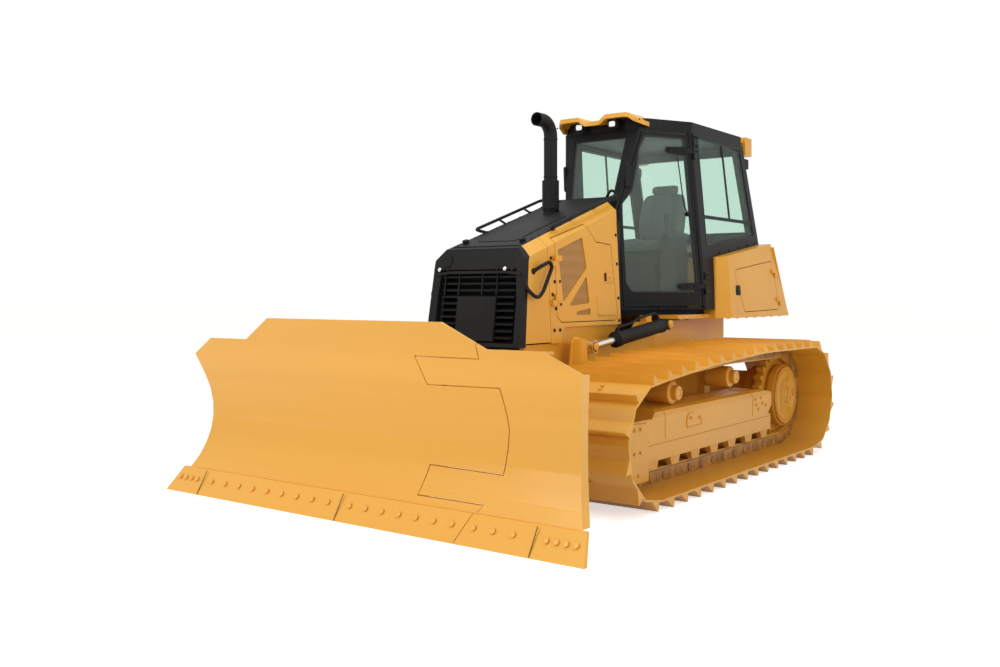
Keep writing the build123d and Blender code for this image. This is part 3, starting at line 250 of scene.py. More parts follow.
def rounded(before, corner, after, radius):
    """Points that round a corner, by a radius in millimetres or as much as its legs allow."""
    back, ahead = before - corner, after - corner
    reach = min(radius / 1000, back.length * 0.45, ahead.length * 0.45)
    start, stop = corner + back.normalized() * reach, corner + ahead.normalized() * reach
    return [start * (1 - t) ** 2 + corner * 2 * t * (1 - t) + stop * t ** 2
            for t in (0, 0.25, 0.5, 0.75, 1)]


def round_plan(points, radius):
    """Outline with its corners rounded, in millimetres."""
    result = []
    for k, corner in enumerate(points):
        result += rounded(points[k - 1], corner, points[(k + 1) % len(points)], radius)
    return result


def skin(form, rings, closed=False):
    """Skin through rings of points, with flat ends or closed on itself."""
    levels = [[form.verts.new(p) for p in ring] for ring in rings]
    following = levels[1:] + levels[:1] if closed else levels[1:]
    for low, high in zip(levels, following):
        for k in range(len(low)):
            j = (k + 1) % len(low)
            form.faces.new((low[k], low[j], high[j], high[k]))
    if not closed:
        form.faces.new(levels[0][::-1])
        form.faces.new(levels[-1])


def smooth_mesh(name, form, angle=35):
    """Mesh of a form, its normals outward, and smooth but for the edges sharper than an angle."""
    bmesh.ops.recalc_face_normals(form, faces=form.faces)
    mesh = bpy.data.meshes.new(name)
    form.to_mesh(mesh)
    form.free()
    mesh.polygons.foreach_set("use_smooth", [True] * len(mesh.polygons))
    mesh.set_sharp_from_angle(angle=math.radians(angle))
    return mesh


class Mould:
    """Shapes gathered into one mesh, which becomes one piece."""

    def __init__(self, name, body, slot, material):
        self.name, self.body, self.slot, self.material = name, body, slot, material
        self.form = bmesh.new()

    def add_rings(self, rings):
        """Form through rings of points, with flat ends."""
        skin(self.form, rings)

    def lathe(self, foot, axis, profile, count=24):
        """Turned form on an axis; profile is (run, radius) in millimetres, run along the axis."""
        axis = Vector(axis).normalized()
        across = axis.orthogonal().normalized()
        third = axis.cross(across)
        self.add_rings([circle(foot + axis * (run / 1000), across, third, radius, count)
                    for run, radius in profile])

    def bolt(self, foot, axis, radius=9, rise=6):
        """Hexagon head with a chamfered top on a washer."""
        self.lathe(foot, axis, [(-1, radius * 1.35), (1.5, radius * 1.35)], 16)
        self.lathe(foot, axis, [(1, radius), (rise - 1, radius), (rise, radius * 0.82)], 6)

    def slab(self, outline, out, rise, edge=1.0, sink=1.0):
        """Flat plate on an outline of points, standing proud outward by rise with a small chamfer."""
        flat = Vector()
        for p, q in zip(outline, outline[1:]):
            flat += (p - outline[0]).cross(q - outline[0])
        flat.normalize()
        if flat.dot(Vector(out)) < 0:
            flat = -flat
        middle = sum(outline, Vector()) / len(outline)
        inner = [p + (middle - p).normalized() * edge * 0.0014 for p in outline]
        low = [p - flat * sink / 1000 for p in outline]
        top = [p + flat * (rise - edge) / 1000 for p in outline]
        self.add_rings([low, top, [p + flat * rise / 1000 for p in inner]])

    def tube(self, points, radius, count=12, bend=0, closed=False):
        """Round bar through points, with rounded bends, all in millimetres but the points."""
        path = []
        for k, p in enumerate(points):
            if bend and 0 < k < len(points) - 1:
                path += rounded(points[k - 1], p, points[k + 1], bend)
            else:
                path.append(p)
        last = len(path) - 1
        side = None
        rings = []
        for k, p in enumerate(path):
            before = path[k - 1] if closed or k else p * 2 - path[1]
            after = path[(k + 1) % len(path)] if closed or k < last else p * 2 - path[k - 1]
            along = (after - before).normalized()
            side = along.orthogonal() if side is None else side - along * side.dot(along)
            side.normalize()
            rings.append(circle(p, side, along.cross(side), radius, count))
        if closed:
            turn = min(range(count), key=lambda j: (rings[0][j] - rings[-1][0]).length)
            rings[0] = rings[0][turn:] + rings[0][:turn]
        skin(self.form, rings, closed)

    def done(self, smooth=35):
        """The finished piece, riding its body."""
        mesh = smooth_mesh(self.name, self.form, smooth)
        mesh.materials.append(self.material)
        piece = put(self.name, mesh)
        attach(piece, self.body)
        return piece


lift_anchor = (-290, 1090)
anchor_caps = Mould("lift_anchor_caps", "machine", "yellow_paint", yellow)
for s in (1, -1):
    foot = at(lift_anchor[0], s * 592, lift_anchor[1])
    anchor_caps.lathe(foot, (0, s, 0), [(-8, 34), (4, 34), (6, 31), (6, 12), (10, 12), (10, 4)], 24)
    for x in (-405, -520, -640, -760, -880):
        anchor_caps.bolt(at(x, s * 590, 1146), (0, s, 0), 7, 5)
anchor_caps.done()

# ---------- engine, final drives and drawbar
# The engine is a cast block behind the grille and the mesh windows. The final drives and the
# equaliser shafts are castings between the frame and the tracks; the drawbar is bolted behind.
iron = Finish("cast_iron")
iron_grain = iron.noise(160.0, 4.0)
iron_tone = iron.mix(iron.noise(5.0).ramp(0.35, 0.7), (0.05, 0.048, 0.045), (0.09, 0.085, 0.075))
paint(iron.done(Base_Color=iron_tone, Roughness=0.6, Normal=iron.bump(iron_grain, 0.4, 0.003)),
      "engine_block")
casting = Finish("yellow_casting")
casting_grit = casting.noise(160.0, 4.0)
casting_cloud = casting.noise(3.0, 5.0, 0.65).ramp(0.4, 0.75)
casting_tone = casting.mix(casting_cloud, (0.62, 0.3, 0.05), (0.5, 0.235, 0.045))
cast_yellow = casting.done(Base_Color=casting_tone, Roughness=casting_grit * 0.12 + 0.42,
                           Normal=casting.bump(casting_grit, 0.3, 0.002))
paint(cast_yellow, "final_drives", "cross_shafts", "drawbar")

# ---------- track frames
# A boxed beam on each side carries the idler yoke in front and the ledges over the rollers.
# Straps are welded over its joints, and covers are bolted on for access. Yellow enamel.
frame_paint = enamel("frame_enamel", (0.76, 0.38, 0.034), (0.68, 0.33, 0.028), 0.4)
paint(frame_paint, "track_frame_left", "track_frame_right")
sides = ((1, "left"), (-1, "right"))
track_mid = 1000
beam_face = 1150
ledge_face = 1154.5
cover_face = 1166
for s, name in sides:
    fittings = Mould("track_frame_fittings_" + name, "machine", "yellow_paint", frame_paint)
    section = [(beam_face, 375), (beam_face, 520), (beam_face - 14, 554), (beam_face - 48, 568),
               (track_mid - 60, 568)]
    for x in (868, -590):
        fittings.tube([at(x, s * y, z) for y, z in section], 5, 8, 20)
    first, last = [at(x, s * (beam_face + 1), z) for x, z in ((440, 505), (322, 450))]
    rim = [at(x, s * (beam_face + 2), z) for x, z in ((520, 505), (552, 470), (552, 408), (322, 408))]
    fittings.tube([first, *rim, last], 5, 8, 30)
    flange = ((-646, 500), (-748, 505), (-663, 455), (-782, 460), (-700, 420), (-850, 440))
    bolts = [(x, z, beam_face) for x, z in ((488, 470), (348, 461), *flange)]
    bolts += [(x, z, cover_face) for x in (1385, 1310, 1235) for z in (472, 323)]
    bolts += [(x, 180, cover_face) for x in (1330, 1260)]
    for x, z, face in bolts:
        fittings.bolt(at(x, s * face, z), (0, s, 0), 11, 9)
    fittings.slab([at(x, s * ledge_face, z) for x, z in rect(1085, -930, 334, 346)], (0, s, 0), 3)
    fittings.done()

# ---------- idlers, rollers and sprockets
# Cast wheels that the track chain runs on: the idler in front, seven rollers below, two above
# and the toothed sprocket behind, whose hub cover is held by a ring of bolts.
running_paint = enamel("running_gear_enamel", (0.72, 0.355, 0.036), (0.64, 0.31, 0.03), 0.4)
paint(running_paint, "sprockets", "carrier_rollers")
# The idlers and bottom rollers get a far darker copy of the same enamel: painted shade for their places
# inside the track, under the frame.
shaded_roller_paint = enamel("roller_enamel_painted_shade", (0.4, 0.19, 0.032), (0.28, 0.13, 0.024), 0.4)
paint(shaded_roller_paint, "idlers", "bottom_rollers")
hub_x, hub_z = -1345, 477
idler_x, idler_z = 1398, 424


def on_hub(radius, degrees, y):
    """Point at a radius and an angle round the sprocket's axle."""
    turn = math.radians(degrees)
    return at(hub_x + radius * math.cos(turn), y, hub_z + radius * math.sin(turn))


for s, name in sides:
    out = (0, s, 0)
    caps = Mould("wheel_caps_" + name, "machine", "yellow_casting", running_paint)
    for k in range(36):
        caps.lathe(on_hub(246, 10 * k, s * 1103), out, [(0, 10), (9, 10), (11, 7)], 6)
    hub_cover = [(0, 214), (5, 214), (9, 205), (9, 150), (5, 144), (5, 60)]
    caps.lathe(on_hub(0, 0, s * 1128), out, hub_cover, 48)
    for k in range(5):
        foot = on_hub(150, 72 * k + 30, s * 1132)
        caps.lathe(foot, out, [(0, 30), (10, 28), (13, 24), (13, 14), (8, 12), (8, 4)], 20)
    hub_boss = [(0, 70), (8, 66), (14, 58), (14, 30), (22, 26), (24, 20)]
    caps.lathe(on_hub(0, 0, s * 1132), out, hub_boss, 32)
    for k in range(3):
        caps.bolt(on_hub(46, 120 * k + 90, s * 1144), out, 10, 10)
    for x, z in ((650, 656), (-300, 701)):
        carrier_end = [(0, 50), (10, 50), (15, 45), (15, 30), (10, 27), (10, 6)]
        caps.lathe(at(x, s * 1129, z), out, carrier_end, 28)
        caps.lathe(at(x, s * 1086, z), out, [(-2, 79), (6, 79), (12, 70), (16, 54)], 32)
    for k in range(7):
        roller_end = [(-1, 84), (6, 80), (10, 66), (18, 44), (20, 20)]
        caps.lathe(at(990 - 310 * k, s * 1092, 258), out, roller_end, 24)
    caps.lathe(at(idler_x, s * 1109, idler_z), out, [(-10, 60), (8, 60), (12, 54), (12, 22)], 28)
    caps.done()

# ---------- tracks
# Forty steel shoes bolted to a chain of forged links. The shoes were sprayed with the
# machine and stay yellow; the links between them are darker.
shoe_paint = enamel("track_enamel", (0.8, 0.395, 0.036), (0.7, 0.33, 0.028), 0.5)
paint(shoe_paint, "track_left", "track_right")
chain_steel = Finish("track_chain")
chain_grit = chain_steel.noise(90.0, 4.0)
chain_cloud = chain_steel.noise(9.0, 4.0).ramp(0.4, 0.65)
chain_tone = chain_steel.mix(chain_cloud, (0.3, 0.14, 0.026), (0.48, 0.225, 0.04))
chain_brown = chain_steel.done(Base_Color=chain_tone, Roughness=0.5,
                               Normal=chain_steel.bump(chain_grit, 0.4, 0.002))
hub_pitch_r = 366
idler_pitch_r = 313
pin_floor = 111.0           # height of the chain's pins on the ground run
front_carrier, rear_carrier = (650, 805), (-300, 850)


def arc(x, z, r, first, last, steps=60):
    """Points (x, z) round a wheel, from one angle to another."""
    turns = [first + (last - first) * k / steps for k in range(steps + 1)]
    return [(x + r * math.cos(a), z + r * math.sin(a)) for a in turns]


def track_pins(count=40, first=25.4):
    """The pins of the chain (x, z) along its line, from the foot of the sprocket forward."""
    front_x, front_z = front_carrier[0] - idler_x, front_carrier[1] - idler_z
    rear_x, rear_z = rear_carrier[0] - hub_x, rear_carrier[1] - hub_z
    leave = math.atan2(front_z, front_x) - math.acos(idler_pitch_r / math.hypot(front_x, front_z))
    meet = math.atan2(rear_z, rear_x) + math.acos(hub_pitch_r / math.hypot(rear_x, rear_z))
    line = [(hub_x, pin_floor), (idler_x, pin_floor)]
    line += arc(idler_x, idler_z, idler_pitch_r, -math.pi / 2, leave)[1:]
    line += [front_carrier, rear_carrier]
    line += arc(hub_x, hub_z, hub_pitch_r, meet, 1.5 * math.pi)
    lengths = [math.dist(p, q) for p, q in zip(line, line[1:])]
    step = sum(lengths) / count
    pins = []
    for k in range(count):
        run = (first + k * step) % sum(lengths)
        for p, q, length in zip(line, line[1:], lengths):
            if run <= length:
                pins.append((p[0] + (q[0] - p[0]) * run / length, p[1] + (q[1] - p[1]) * run / length))
                break
            run -= length
    return pins


def repeated(name, unit, places, body, material):
    """Copies of a unit on places (point, x axis, z axis), made by a node tree into one mesh."""
    cloud = bpy.data.meshes.new(name + "_places")
    cloud.from_pydata([p for p, _, _ in places], [], [])
    turns = cloud.attributes.new("turn", "FLOAT_VECTOR", "POINT")
    for k, (_, along, up) in enumerate(places):
        up = Vector(up).normalized()
        along = (Vector(along) - up * Vector(along).dot(up)).normalized()
        basis = Matrix((along, up.cross(along), up)).transposed()
        turns.data[k].vector = basis.to_euler()
    holder = put(name + "_holder", cloud)
    tree = bpy.data.node_groups.new(name + "_tree", "GeometryNodeTree")
    tree.interface.new_socket("Places", in_out="INPUT", socket_type="NodeSocketGeometry")
    unit_input = tree.interface.new_socket("Unit", in_out="INPUT", socket_type="NodeSocketObject")
    finish_input = tree.interface.new_socket("Finish", in_out="INPUT", socket_type="NodeSocketMaterial")
    tree.interface.new_socket("Pieces", in_out="OUTPUT", socket_type="NodeSocketGeometry")
    start, stop, points, info, turn, copies, real, colour = [tree.nodes.new(kind) for kind in (
        "NodeGroupInput", "NodeGroupOutput", "GeometryNodeMeshToPoints", "GeometryNodeObjectInfo",
        "GeometryNodeInputNamedAttribute", "GeometryNodeInstanceOnPoints",
        "GeometryNodeRealizeInstances", "GeometryNodeSetMaterial")]
    turn.data_type = "FLOAT_VECTOR"
    turn.inputs["Name"].default_value = "turn"
    for source, output, target, entry in (
            (start, "Places", points, "Mesh"), (start, "Unit", info, "Object"),
            (points, "Points", copies, "Points"), (info, "Geometry", copies, "Instance"),
            (turn, "Attribute", copies, "Rotation"), (copies, "Instances", real, "Geometry"),
            (real, "Geometry", colour, "Geometry"), (start, "Finish", colour, "Material"),
            (colour, "Geometry", stop, "Pieces")):
        tree.links.new(source.outputs[output], target.inputs[entry])
    maker = holder.modifiers.new("copies", "NODES")
    maker.node_group = tree
    maker[unit_input.identifier] = unit
    maker[finish_input.identifier] = material
    bpy.context.view_layer.update()
    solid = bpy.data.meshes.new_from_object(holder.evaluated_get(bpy.context.evaluated_depsgraph_get()))
    solid.name = name
    bpy.data.objects.remove(holder)
    piece = put(name, solid)
    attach(piece, body)


def unit_mesh(name, build):
    """A unit piece at the origin that repeated() copies; it is removed once used."""
    form = bmesh.new()
    build(form)
    return put(name, smooth_mesh(name, form))


def turned(profile, count):
    """Builder of a form turned about Z from (height, radius) in millimetres."""
    def build(form):
        x_axis, y_axis, z_axis = Matrix.Identity(3)
        skin(form, [circle(z_axis * (h / 1000), x_axis, y_axis, r, count) for h, r in profile])
    return build


def link_plate(form):
    """Side of one chain link: a plate rounded at its two pins, with a low boss between them."""
    outline = []
    for centre, start in ((95, -90), (-95, 90)):
        for k in range(9):
            a = math.radians(start + 22.5 * k)
            outline.append((centre + 44 * math.cos(a), 44 * math.sin(a)))
    skin(form, [[(x * run / 1000, y * rise / 1000, z / 1000) for x, y in outline]
                for run, rise, z in ((1, 1, -1), (1, 1, 6), (0.94, 0.86, 9))])
    turned([(8.5, 22), (12, 20), (12.5, 12)], 16)(form)


shoe_bolt = unit_mesh("shoe_bolt", turned([(-1, 17), (2, 17), (2.5, 12.5), (12, 12.5), (14, 10)], 6))
link_unit = unit_mesh("link_side", link_plate)
pin_unit = unit_mesh("pin_end", turned([(0, 27), (8, 27), (10, 24), (10, 15), (8, 13), (8, 4)], 16))
shoe_top = 53.5             # above the chain's line
link_face = 80.5            # outward from the chain's middle
link_step = 4               # every second link lies this much further out
pin_face = 92               # outward from the chain's middle
pins = track_pins()
for s, name in sides:
    bolt_places, link_places, pin_places = [], [], []
    for (px, pz), (qx, qz) in zip(pins, pins[1:] + pins[:1]):
        along = Vector((qx - px, 0, qz - pz)).normalized()
        out = Vector((along.z, 0, -along.x))
        middle = at((px + qx) / 2, s * track_mid, (pz + qz) / 2)
        for run, across in ((40, -60), (40, 60), (74, -60), (74, 60)):
            shift = along * run + out * shoe_top + Vector((0, across, 0))
            bolt_places.append((middle + shift / 1000, along, out))
        face = link_face + link_step * (len(link_places) % 2)
        link_places.append((middle + Vector((0, s * face / 1000, 0)), along, (0, s, 0)))
        pin_places.append((at(px, s * (track_mid + pin_face), pz), along, (0, s, 0)))
    repeated("track_shoe_bolts_" + name, shoe_bolt, bolt_places, "machine", shoe_paint)
    repeated("track_links_" + name, link_unit, link_places, "machine", chain_brown)
    repeated("track_pins_" + name, pin_unit, pin_places, "machine", chain_brown)
for unit in (shoe_bolt, link_unit, pin_unit):
    bpy.data.objects.remove(unit)

# ---------- nose guard and grille
# A heavy black frame round the radiator, with slanting louvres either side of a plain centre
# plate. Two turn-latches hold it shut above the louvres. Textured black powder coat.
def powder(name, light, dark, rough=0.42):
    """Fine-textured black coat, faintly hazed."""
    new = Finish(name)
    grain = new.noise(700.0, 2.0)
    tone = new.mix(new.noise(2.0).ramp(0.4, 0.7), dark, light)
    return new.done(Base_Color=tone, Roughness=grain * 0.15 + rough, Specular_IOR_Level=0.14,
                    Normal=new.bump(grain, 0.22, 0.0006))


black = powder("black_coat", (0.018, 0.0175, 0.017), (0.011, 0.011, 0.0112), 0.5)
louvre_black = powder("louvre_coat", (0.012, 0.012, 0.012), (0.008, 0.008, 0.008), 0.45)
paint(black, "nose_guard")
paint(louvre_black, "grille")
nose_lean = 0.1333
nose_out = (1, 0, nose_lean)


def nose_x(z):
    """Front face of the nose guard."""
    return 1484 - nose_lean * (z - 1010)


plated = Finish("bright_steel")
bright = plated.done(Base_Color=(0.75, 0.74, 0.72), Metallic=1.0,
                     Roughness=plated.noise(260.0, 2.0) * 0.1 + 0.14)
trim = Mould("nose_trim", "machine", "black_paint", black)
brow = ((-372, 1455), (-250, 1470), (250, 1470), (372, 1455), (372, 1474), (250, 1489), (-250, 1489),
        (-372, 1474))
trim.slab([at(nose_x(z), y, z) for y, z in brow], (1, 0, 0), 9)
trim.lathe(at(nose_x(1561) + 1, -282, 1561), nose_out, [(-3, 46), (3, 46), (6, 42), (6, 10)], 28)
for y, wide in ((-372, 14), (-300, 10), (-262, 10), (172, 10), (300, 15)):
    trim.lathe(at(nose_x(1500), y, 1500), nose_out, [(-3, wide), (14, wide), (17, wide - 3), (17, 4)], 14)
for y in (-290, -166, 40, 166):
    trim.slab([at(nose_x(z) - 14, y + dy, z) for dy, z in rect(-4, 4, 1322, 1466)], (1, 0, 0), 6)
trim.slab([at(nose_x(z) - 7.5, y, z) for y, z in rect(-160, 160, 1012, 1100)], (1, 0, 0), 2)
trim.done()
latches = Mould("nose_latches", "machine", "rod_chrome", bright)
for y in (-336, 239):
    latches.lathe(at(nose_x(1500), y, 1500), nose_out, [(-3, 15), (16, 15), (20, 11), (20, 4)], 16)
latches.done()

# ---------- hood, rails and exhaust
# A sloping black hood with a tubular rail along each edge. The exhaust comes out of it in a
# ribbed shroud, and bends forward at the top. Black coat; a near-black matt disc closes the
# outlet's mouth, soot with painted shade for the pipe's dark inside.
paint(black, "hood", "firewall", "exhaust_stack")
hood_slope = 0.331
hood_up = (hood_slope, 0, 1)
side_lean = 0.05


def hood_z(x):
    """Height of the hood's top."""
    return 2102 - hood_slope * x


def on_hood(x, y, lift=0.0):
    """Point on the hood's top, raised by lift."""
    return at(x, y, hood_z(x) + lift)


def side_y(z):
    """Half width of the engine's leaning side at a height."""
    return 416 - side_lean * (z - 1100)


hood_bits = Mould("hood_fittings", "machine", "black_paint", black)
for x in (1290, 1180, 1092, 985, 830, 680, 530, 383, 240):
    for s in (1, -1):
        hood_bits.bolt(on_hood(x, s * 286), hood_up, 7, 6)
for y in (250, -250):
    hood_bits.lathe(on_hood(1240, y), hood_up, [(-2, 24), (14, 22), (22, 26), (28, 20), (28, 6)], 20)
hood_bits.slab([on_hood(x, y) for x, y in rect(1210, 560, 165, -165)], (0, 0, 1), 4)
hood_bits.slab([on_hood(x, y) for x, y in rect(1338, 1322, 282, -282)], (0, 0, 1), 6)
hood_bits.tube([at(46, 262, 2070), at(46, 300, 2120), at(40, 236, 2150), at(30, 196, 2096)], 11, 12, 40)
hood_bits.done()
for s, name in sides:
    rail = Mould("hood_rail_" + name, "machine", "black_paint", black)
    line = ((950, 296, 1), (1012, 350, 40), (130, 350, 37), (62, 240, 1))
    rail.tube([on_hood(x, s * y, lift) for x, y, lift in line], 12, 12, 70)
    for x in (720, 400):
        rail.tube([on_hood(x, s * 350, 38), on_hood(x, s * 286, 1)], 9, 10)
    for x, y in ((950, 296), (62, 240)):
        rail.lathe(on_hood(x, s * y), hood_up, [(-1, 24), (5, 24), (7, 20)], 18)
    rail.done()
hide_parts("hood_rails")
stack = (420, -75)
shroud = Mould("exhaust_shroud", "machine", "black_paint", black)
for k in range(15):
    z = 1978 + 15.6 * k
    shroud.lathe(at(*stack, z), (0, 0, 1), [(-4.5, 62), (-3, 66.5), (3, 66.5), (4.5, 62)], 36)
shroud.lathe(at(*stack, 2203), (0, 0, 1), [(0, 66), (6, 60), (9, 53.5)], 36)
for z in (2230, 2520):
    shroud.lathe(at(*stack, z), (0, 0, 1), [(0, 53), (1, 55), (9, 55), (10, 53)], 36)
shroud.done()
# A near-black matt disc across the outlet's mouth: soot, and painted shade for the hollow pipe's dark
# inside.
soot_and_shade = Finish("soot_and_shade")
soot_and_shade_black = soot_and_shade.done(Base_Color=(0.006, 0.006, 0.006), Roughness=0.95)
outlet = Mould("exhaust_outlet", "machine", "black_paint", soot_and_shade_black)
outlet.lathe(at(482, stack[1], 2658), (1, 0, 0), [(0, 45.6), (2, 45.6)], 32)
outlet.done()

# ---------- engine sides and doors
# Leaning yellow panels close the engine in. Each side has a hinged door with three mesh
# windows, a flush latch and a pressed pad; black screws hold the panels on.
paint(yellow, "nose_sides", "side_panels", "engine_door_left", "engine_door_right")
# The perforated sheet is yellow steel drawn at half the panels' brightness, with darker dots for holes that
# are not cut: painted shade for the dark engine bay behind it.
mesh_finish = Finish("perforated_sheet_painted_shade")
hole_grid = mesh_finish.node("ShaderNodeTexVoronoi", {"feature": "F1"}, "Distance",
                             Vector=mesh_finish.place(), Scale=230.0, Randomness=0.0)
mesh_shaded_tone = mesh_finish.mix(hole_grid.ramp(0.25, 0.5), (0.36, 0.175, 0.033), (0.42, 0.205, 0.038))
mesh_shaded_yellow = mesh_finish.done(Base_Color=mesh_shaded_tone, Roughness=0.5,
                               Normal=mesh_finish.bump(hole_grid.ramp(0.3, 0.45), 0.5, 0.001))
mesh_windows = (((1015, 1640), (689, 1742), (645, 1515), (970, 1271)),
                ((652, 1463), (627, 1265), (907, 1242)), ((615, 1229), (615, 1181), (975, 1181)))
panel_screws = ((1108, 1579), (1072, 1416), (1104, 1328), (1068, 1230), (1098, 1081), (1028, 1081),
                (212, 1130), (212, 1300), (212, 1560), (212, 1780))
leaf_screws = ((1009, 1580), (1008, 1420), (1005, 1259))
grab_feet = ((1322, 1484), (1408, 1372))
grab_reach = 445            # the handle's distance from the machine's middle plane


def on_side(x, z, s, lift=0.0):
    """Point on the engine's leaning side, left for s 1 and right for s -1."""
    return at(x, s * (side_y(z) + lift), z)


def side_plan(s, corners, radius):
    """Rounded outline on the engine's side, from corners (x, z)."""
    return round_plan([on_side(x, z, s) for x, z in corners], radius)


frame_face = 389
inner_plates = Mould("inner_frame_plates", "machine", "yellow_paint", yellow)
for s in (1, -1):
    inner_plates.slab([at(x, s * frame_face, z) for x, z in rect(1020, 190, 985, 1112)], (0, s, 0), 4)
inner_plates.done()
for s, name in sides:
    door = "engine_door_" + name
    flat_out, out = (0, s, 0), (0, s, side_lean)
    mesh = Mould("engine_mesh_" + name, door, "yellow_paint", mesh_shaded_yellow)
    for window in mesh_windows:
        middle = sum((Vector(p) for p in window), Vector((0, 0))) / len(window)
        sheet = [middle + (Vector(p) - middle) * 0.985 for p in window]
        mesh.slab(round_plan([on_side(x, z, s, -8.6) for x, z in sheet], 12), flat_out, 1.4, 0.3, 0.2)
    mesh.done()
    screws = Mould("engine_screws_" + name, "machine", "black_paint", black)
    for x, z in panel_screws:
        screws.lathe(on_side(x, z, s), out, [(-1, 12), (5, 12), (7, 8), (7, 3)], 12)
    screws.done()
    fit = Mould("engine_door_fittings_" + name, door, "yellow_paint", yellow)
    fit.slab(side_plan(s, rect(262, 520, 1170, 1334), 26), flat_out, 7, 4)
    fit.tube(side_plan(s, rect(275, 412, 1412, 1500), 22), 4, 8, 0, True)
    fit.done()
    latch = Mould("engine_latch_" + name, door, "dark_plastic", black)
    latch.slab(side_plan(s, rect(374, 406, 1426, 1488), 5), flat_out, 1.5)
    latch.done()
    paddle = Mould("engine_latch_paddle_" + name, door, "yellow_paint", yellow)
    paddle.slab(side_plan(s, rect(284, 370, 1424, 1490), 8), flat_out, 5, 2)
    paddle.lathe(on_side(335, 1457, s, 4), out, [(0, 14), (6, 13), (10, 9), (11, 4)], 16)
    for x, z in leaf_screws:
        paddle.lathe(on_side(x, z, s), out, [(-1, 12), (2, 12), (2.5, 8)], 12)
    paddle.done()
    door_screws = Mould("engine_door_screws_" + name, door, "black_paint", black)
    for x, z in leaf_screws:
        door_screws.lathe(on_side(x, z, s, 1), out, [(-1, 10), (5, 10), (7, 7), (7, 3)], 12)
    door_screws.done()
    grab = Mould("grab_handle_" + name, "machine", "black_paint", black)
    first, last = [on_side(x, z, s, -1) for x, z in grab_feet]
    bar = ((1300, 1518), (1196, 1552), (1166, 1518), (1276, 1345), (1330, 1306), (1388, 1320))
    grab.tube([first, *(at(x, s * grab_reach, z) for x, z in bar), last], 13, 14, 42)
    for x, z in grab_feet:
        grab.lathe(on_side(x, z, s), flat_out, [(-1, 22), (4, 22), (6, 18)], 16)
    grab.done()
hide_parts("grab_handles")

# ---------- fuel tank and its door
# The tank stands behind and under the cab, with a chamfered front corner. A latched door
# covers the filler on the left. Yellow enamel, a guard plate behind.
paint(yellow, "fuel_tank", "tank_door", "rear_guard")


def on_tank(x, z, s=1, lift=0.0):
    """Point on the tank's leaning side."""
    return at(x, s * (760 - side_lean * (z - 1000) + lift), z)


tank_bits = Mould("tank_screws", "machine", "yellow_paint", yellow)
for s in (1, -1):
    for x, z in ((-2072, 1494), (-2115, 1300), (-2070, 1660)):
        tank_bits.bolt(on_tank(x, z, s), (0, s, side_lean), 9, 7)
    for x in (-1040, -1230, -1420, -1610, -1800, -1990, -2180):
        tank_bits.lathe(at(x, s * 742, 1127), (0, 0, -1), [(-2, 12), (6, 12), (8, 9)], 6)
tank_bits.done()
tank_latch = Mould("tank_latch", "tank_door", "dark_plastic", black)
latch_plate = [on_tank(x, z) for x, z in rect(-1292, -1196, 1318, 1404)]
tank_latch.slab(round_plan(latch_plate, 16), (0, 1, 0), 2, 1)
latch_grip = [on_tank(x, z, 1, 2) for x, z in rect(-1278, -1210, 1332, 1362)]
tank_latch.slab(round_plan(latch_grip, 8), (0, 1, 0), 9, 3)
tank_latch.done()

# ---------- cab shell
# Folded and welded posts with a flat roof, black outside. The middle post turns the door plane
# into the side plane; rubber runs round each pane, and the side pane has a rail and a divider.
cab_coat = powder("cab_coat", (0.012, 0.0125, 0.013), (0.007, 0.0073, 0.0078), 0.38)
paint(cab_coat, "cab_frame", "cab_door_left", "cab_door_right", "cab_floor", "cab_shelf", "cab_roof")
glass_new = Finish("window_glass")
clear_part = glass_new.node("ShaderNodeBsdfTransparent", Color=(0.87, 0.955, 0.912))
pale_part = glass_new.node("ShaderNodeBsdfPrincipled", Base_Color=(0.8, 0.88, 0.84), Roughness=0.06)
glass = glass_new.end(glass_new.node("ShaderNodeMixShader", _0=0.065, _1=clear_part, _2=pale_part))
paint(glass, "cab_glass", "door_glass_left", "door_glass_right")
rubber_new = Finish("rubber_seal")
rubber = rubber_new.done(Base_Color=(0.012, 0.012, 0.013),
                         Roughness=rubber_new.noise(300.0, 2.0) * 0.2 + 0.55)


def post_x(z):
    """Corner of the middle post, where the door plane meets the side plane."""
    return -844 + 0.12678 * (z - 1190)


def rear_x(z):
    """Rear edge of the cab's side."""
    return -1975 + 285 * (z - 1820) / 840


def front_x(z):
    """Front of the cab, which leans forward up to 2000 and back above it."""
    return -100 + 70 * (z - 1200) / 800 if z < 2000 else -30 - 180 * (z - 2000) / 650


def door_out(s):
    """Outward direction of the cab's door plane."""
    return Vector((0.471, 0.882 * s, -0.029))


def on_door(x, z, s, lift=0.0):
    """Point on the cab's door plane, lifted outward."""
    y = 640 - 0.534 * (x + 844) + 0.0325 * (z - 1190)
    return at(x, s * y, z) + door_out(s) * (lift / 1000)


def on_cab_side(x, z, s, lift=0.0):
    """Point on the cab's side behind the middle post."""
    return at(x, s * (640 - 0.0352 * (z - 1190) + lift), z)


hinge_margin = 66           # from the middle post to the door's pane and its hinge straps
door_pane = [(-192, 1345), (-138, 1420), (-86, 2047), (-166, 2150), (-208, 2395), (-216, 2500),
             (-262, 2600), (post_x(2600) + hinge_margin, 2600), (post_x(1345) + hinge_margin, 1345)]
side_pane = [(post_x(1735) - 110, 1735), (post_x(2622) - 110, 2622), (rear_x(2622) + 75, 2622),
             (rear_x(1860) + 75, 1860)]
window_rail = [(post_x(1975) - 104, 1962), (post_x(1990) - 104, 1990), (rear_x(1990) + 68, 1990),
               (rear_x(1962) + 68, 1962)]
window_divider = [(-1262, 2618), (-1238, 2618), (-1356, 1980), (-1382, 1980)]
windshield = [(-196, 2079), (196, 2079), (238, 2588), (-238, 2588)]
seals = Mould("cab_seals", "machine", "dark_plastic", rubber)
side_rails = Mould("side_window_rails", "machine", "cab_black", cab_coat)
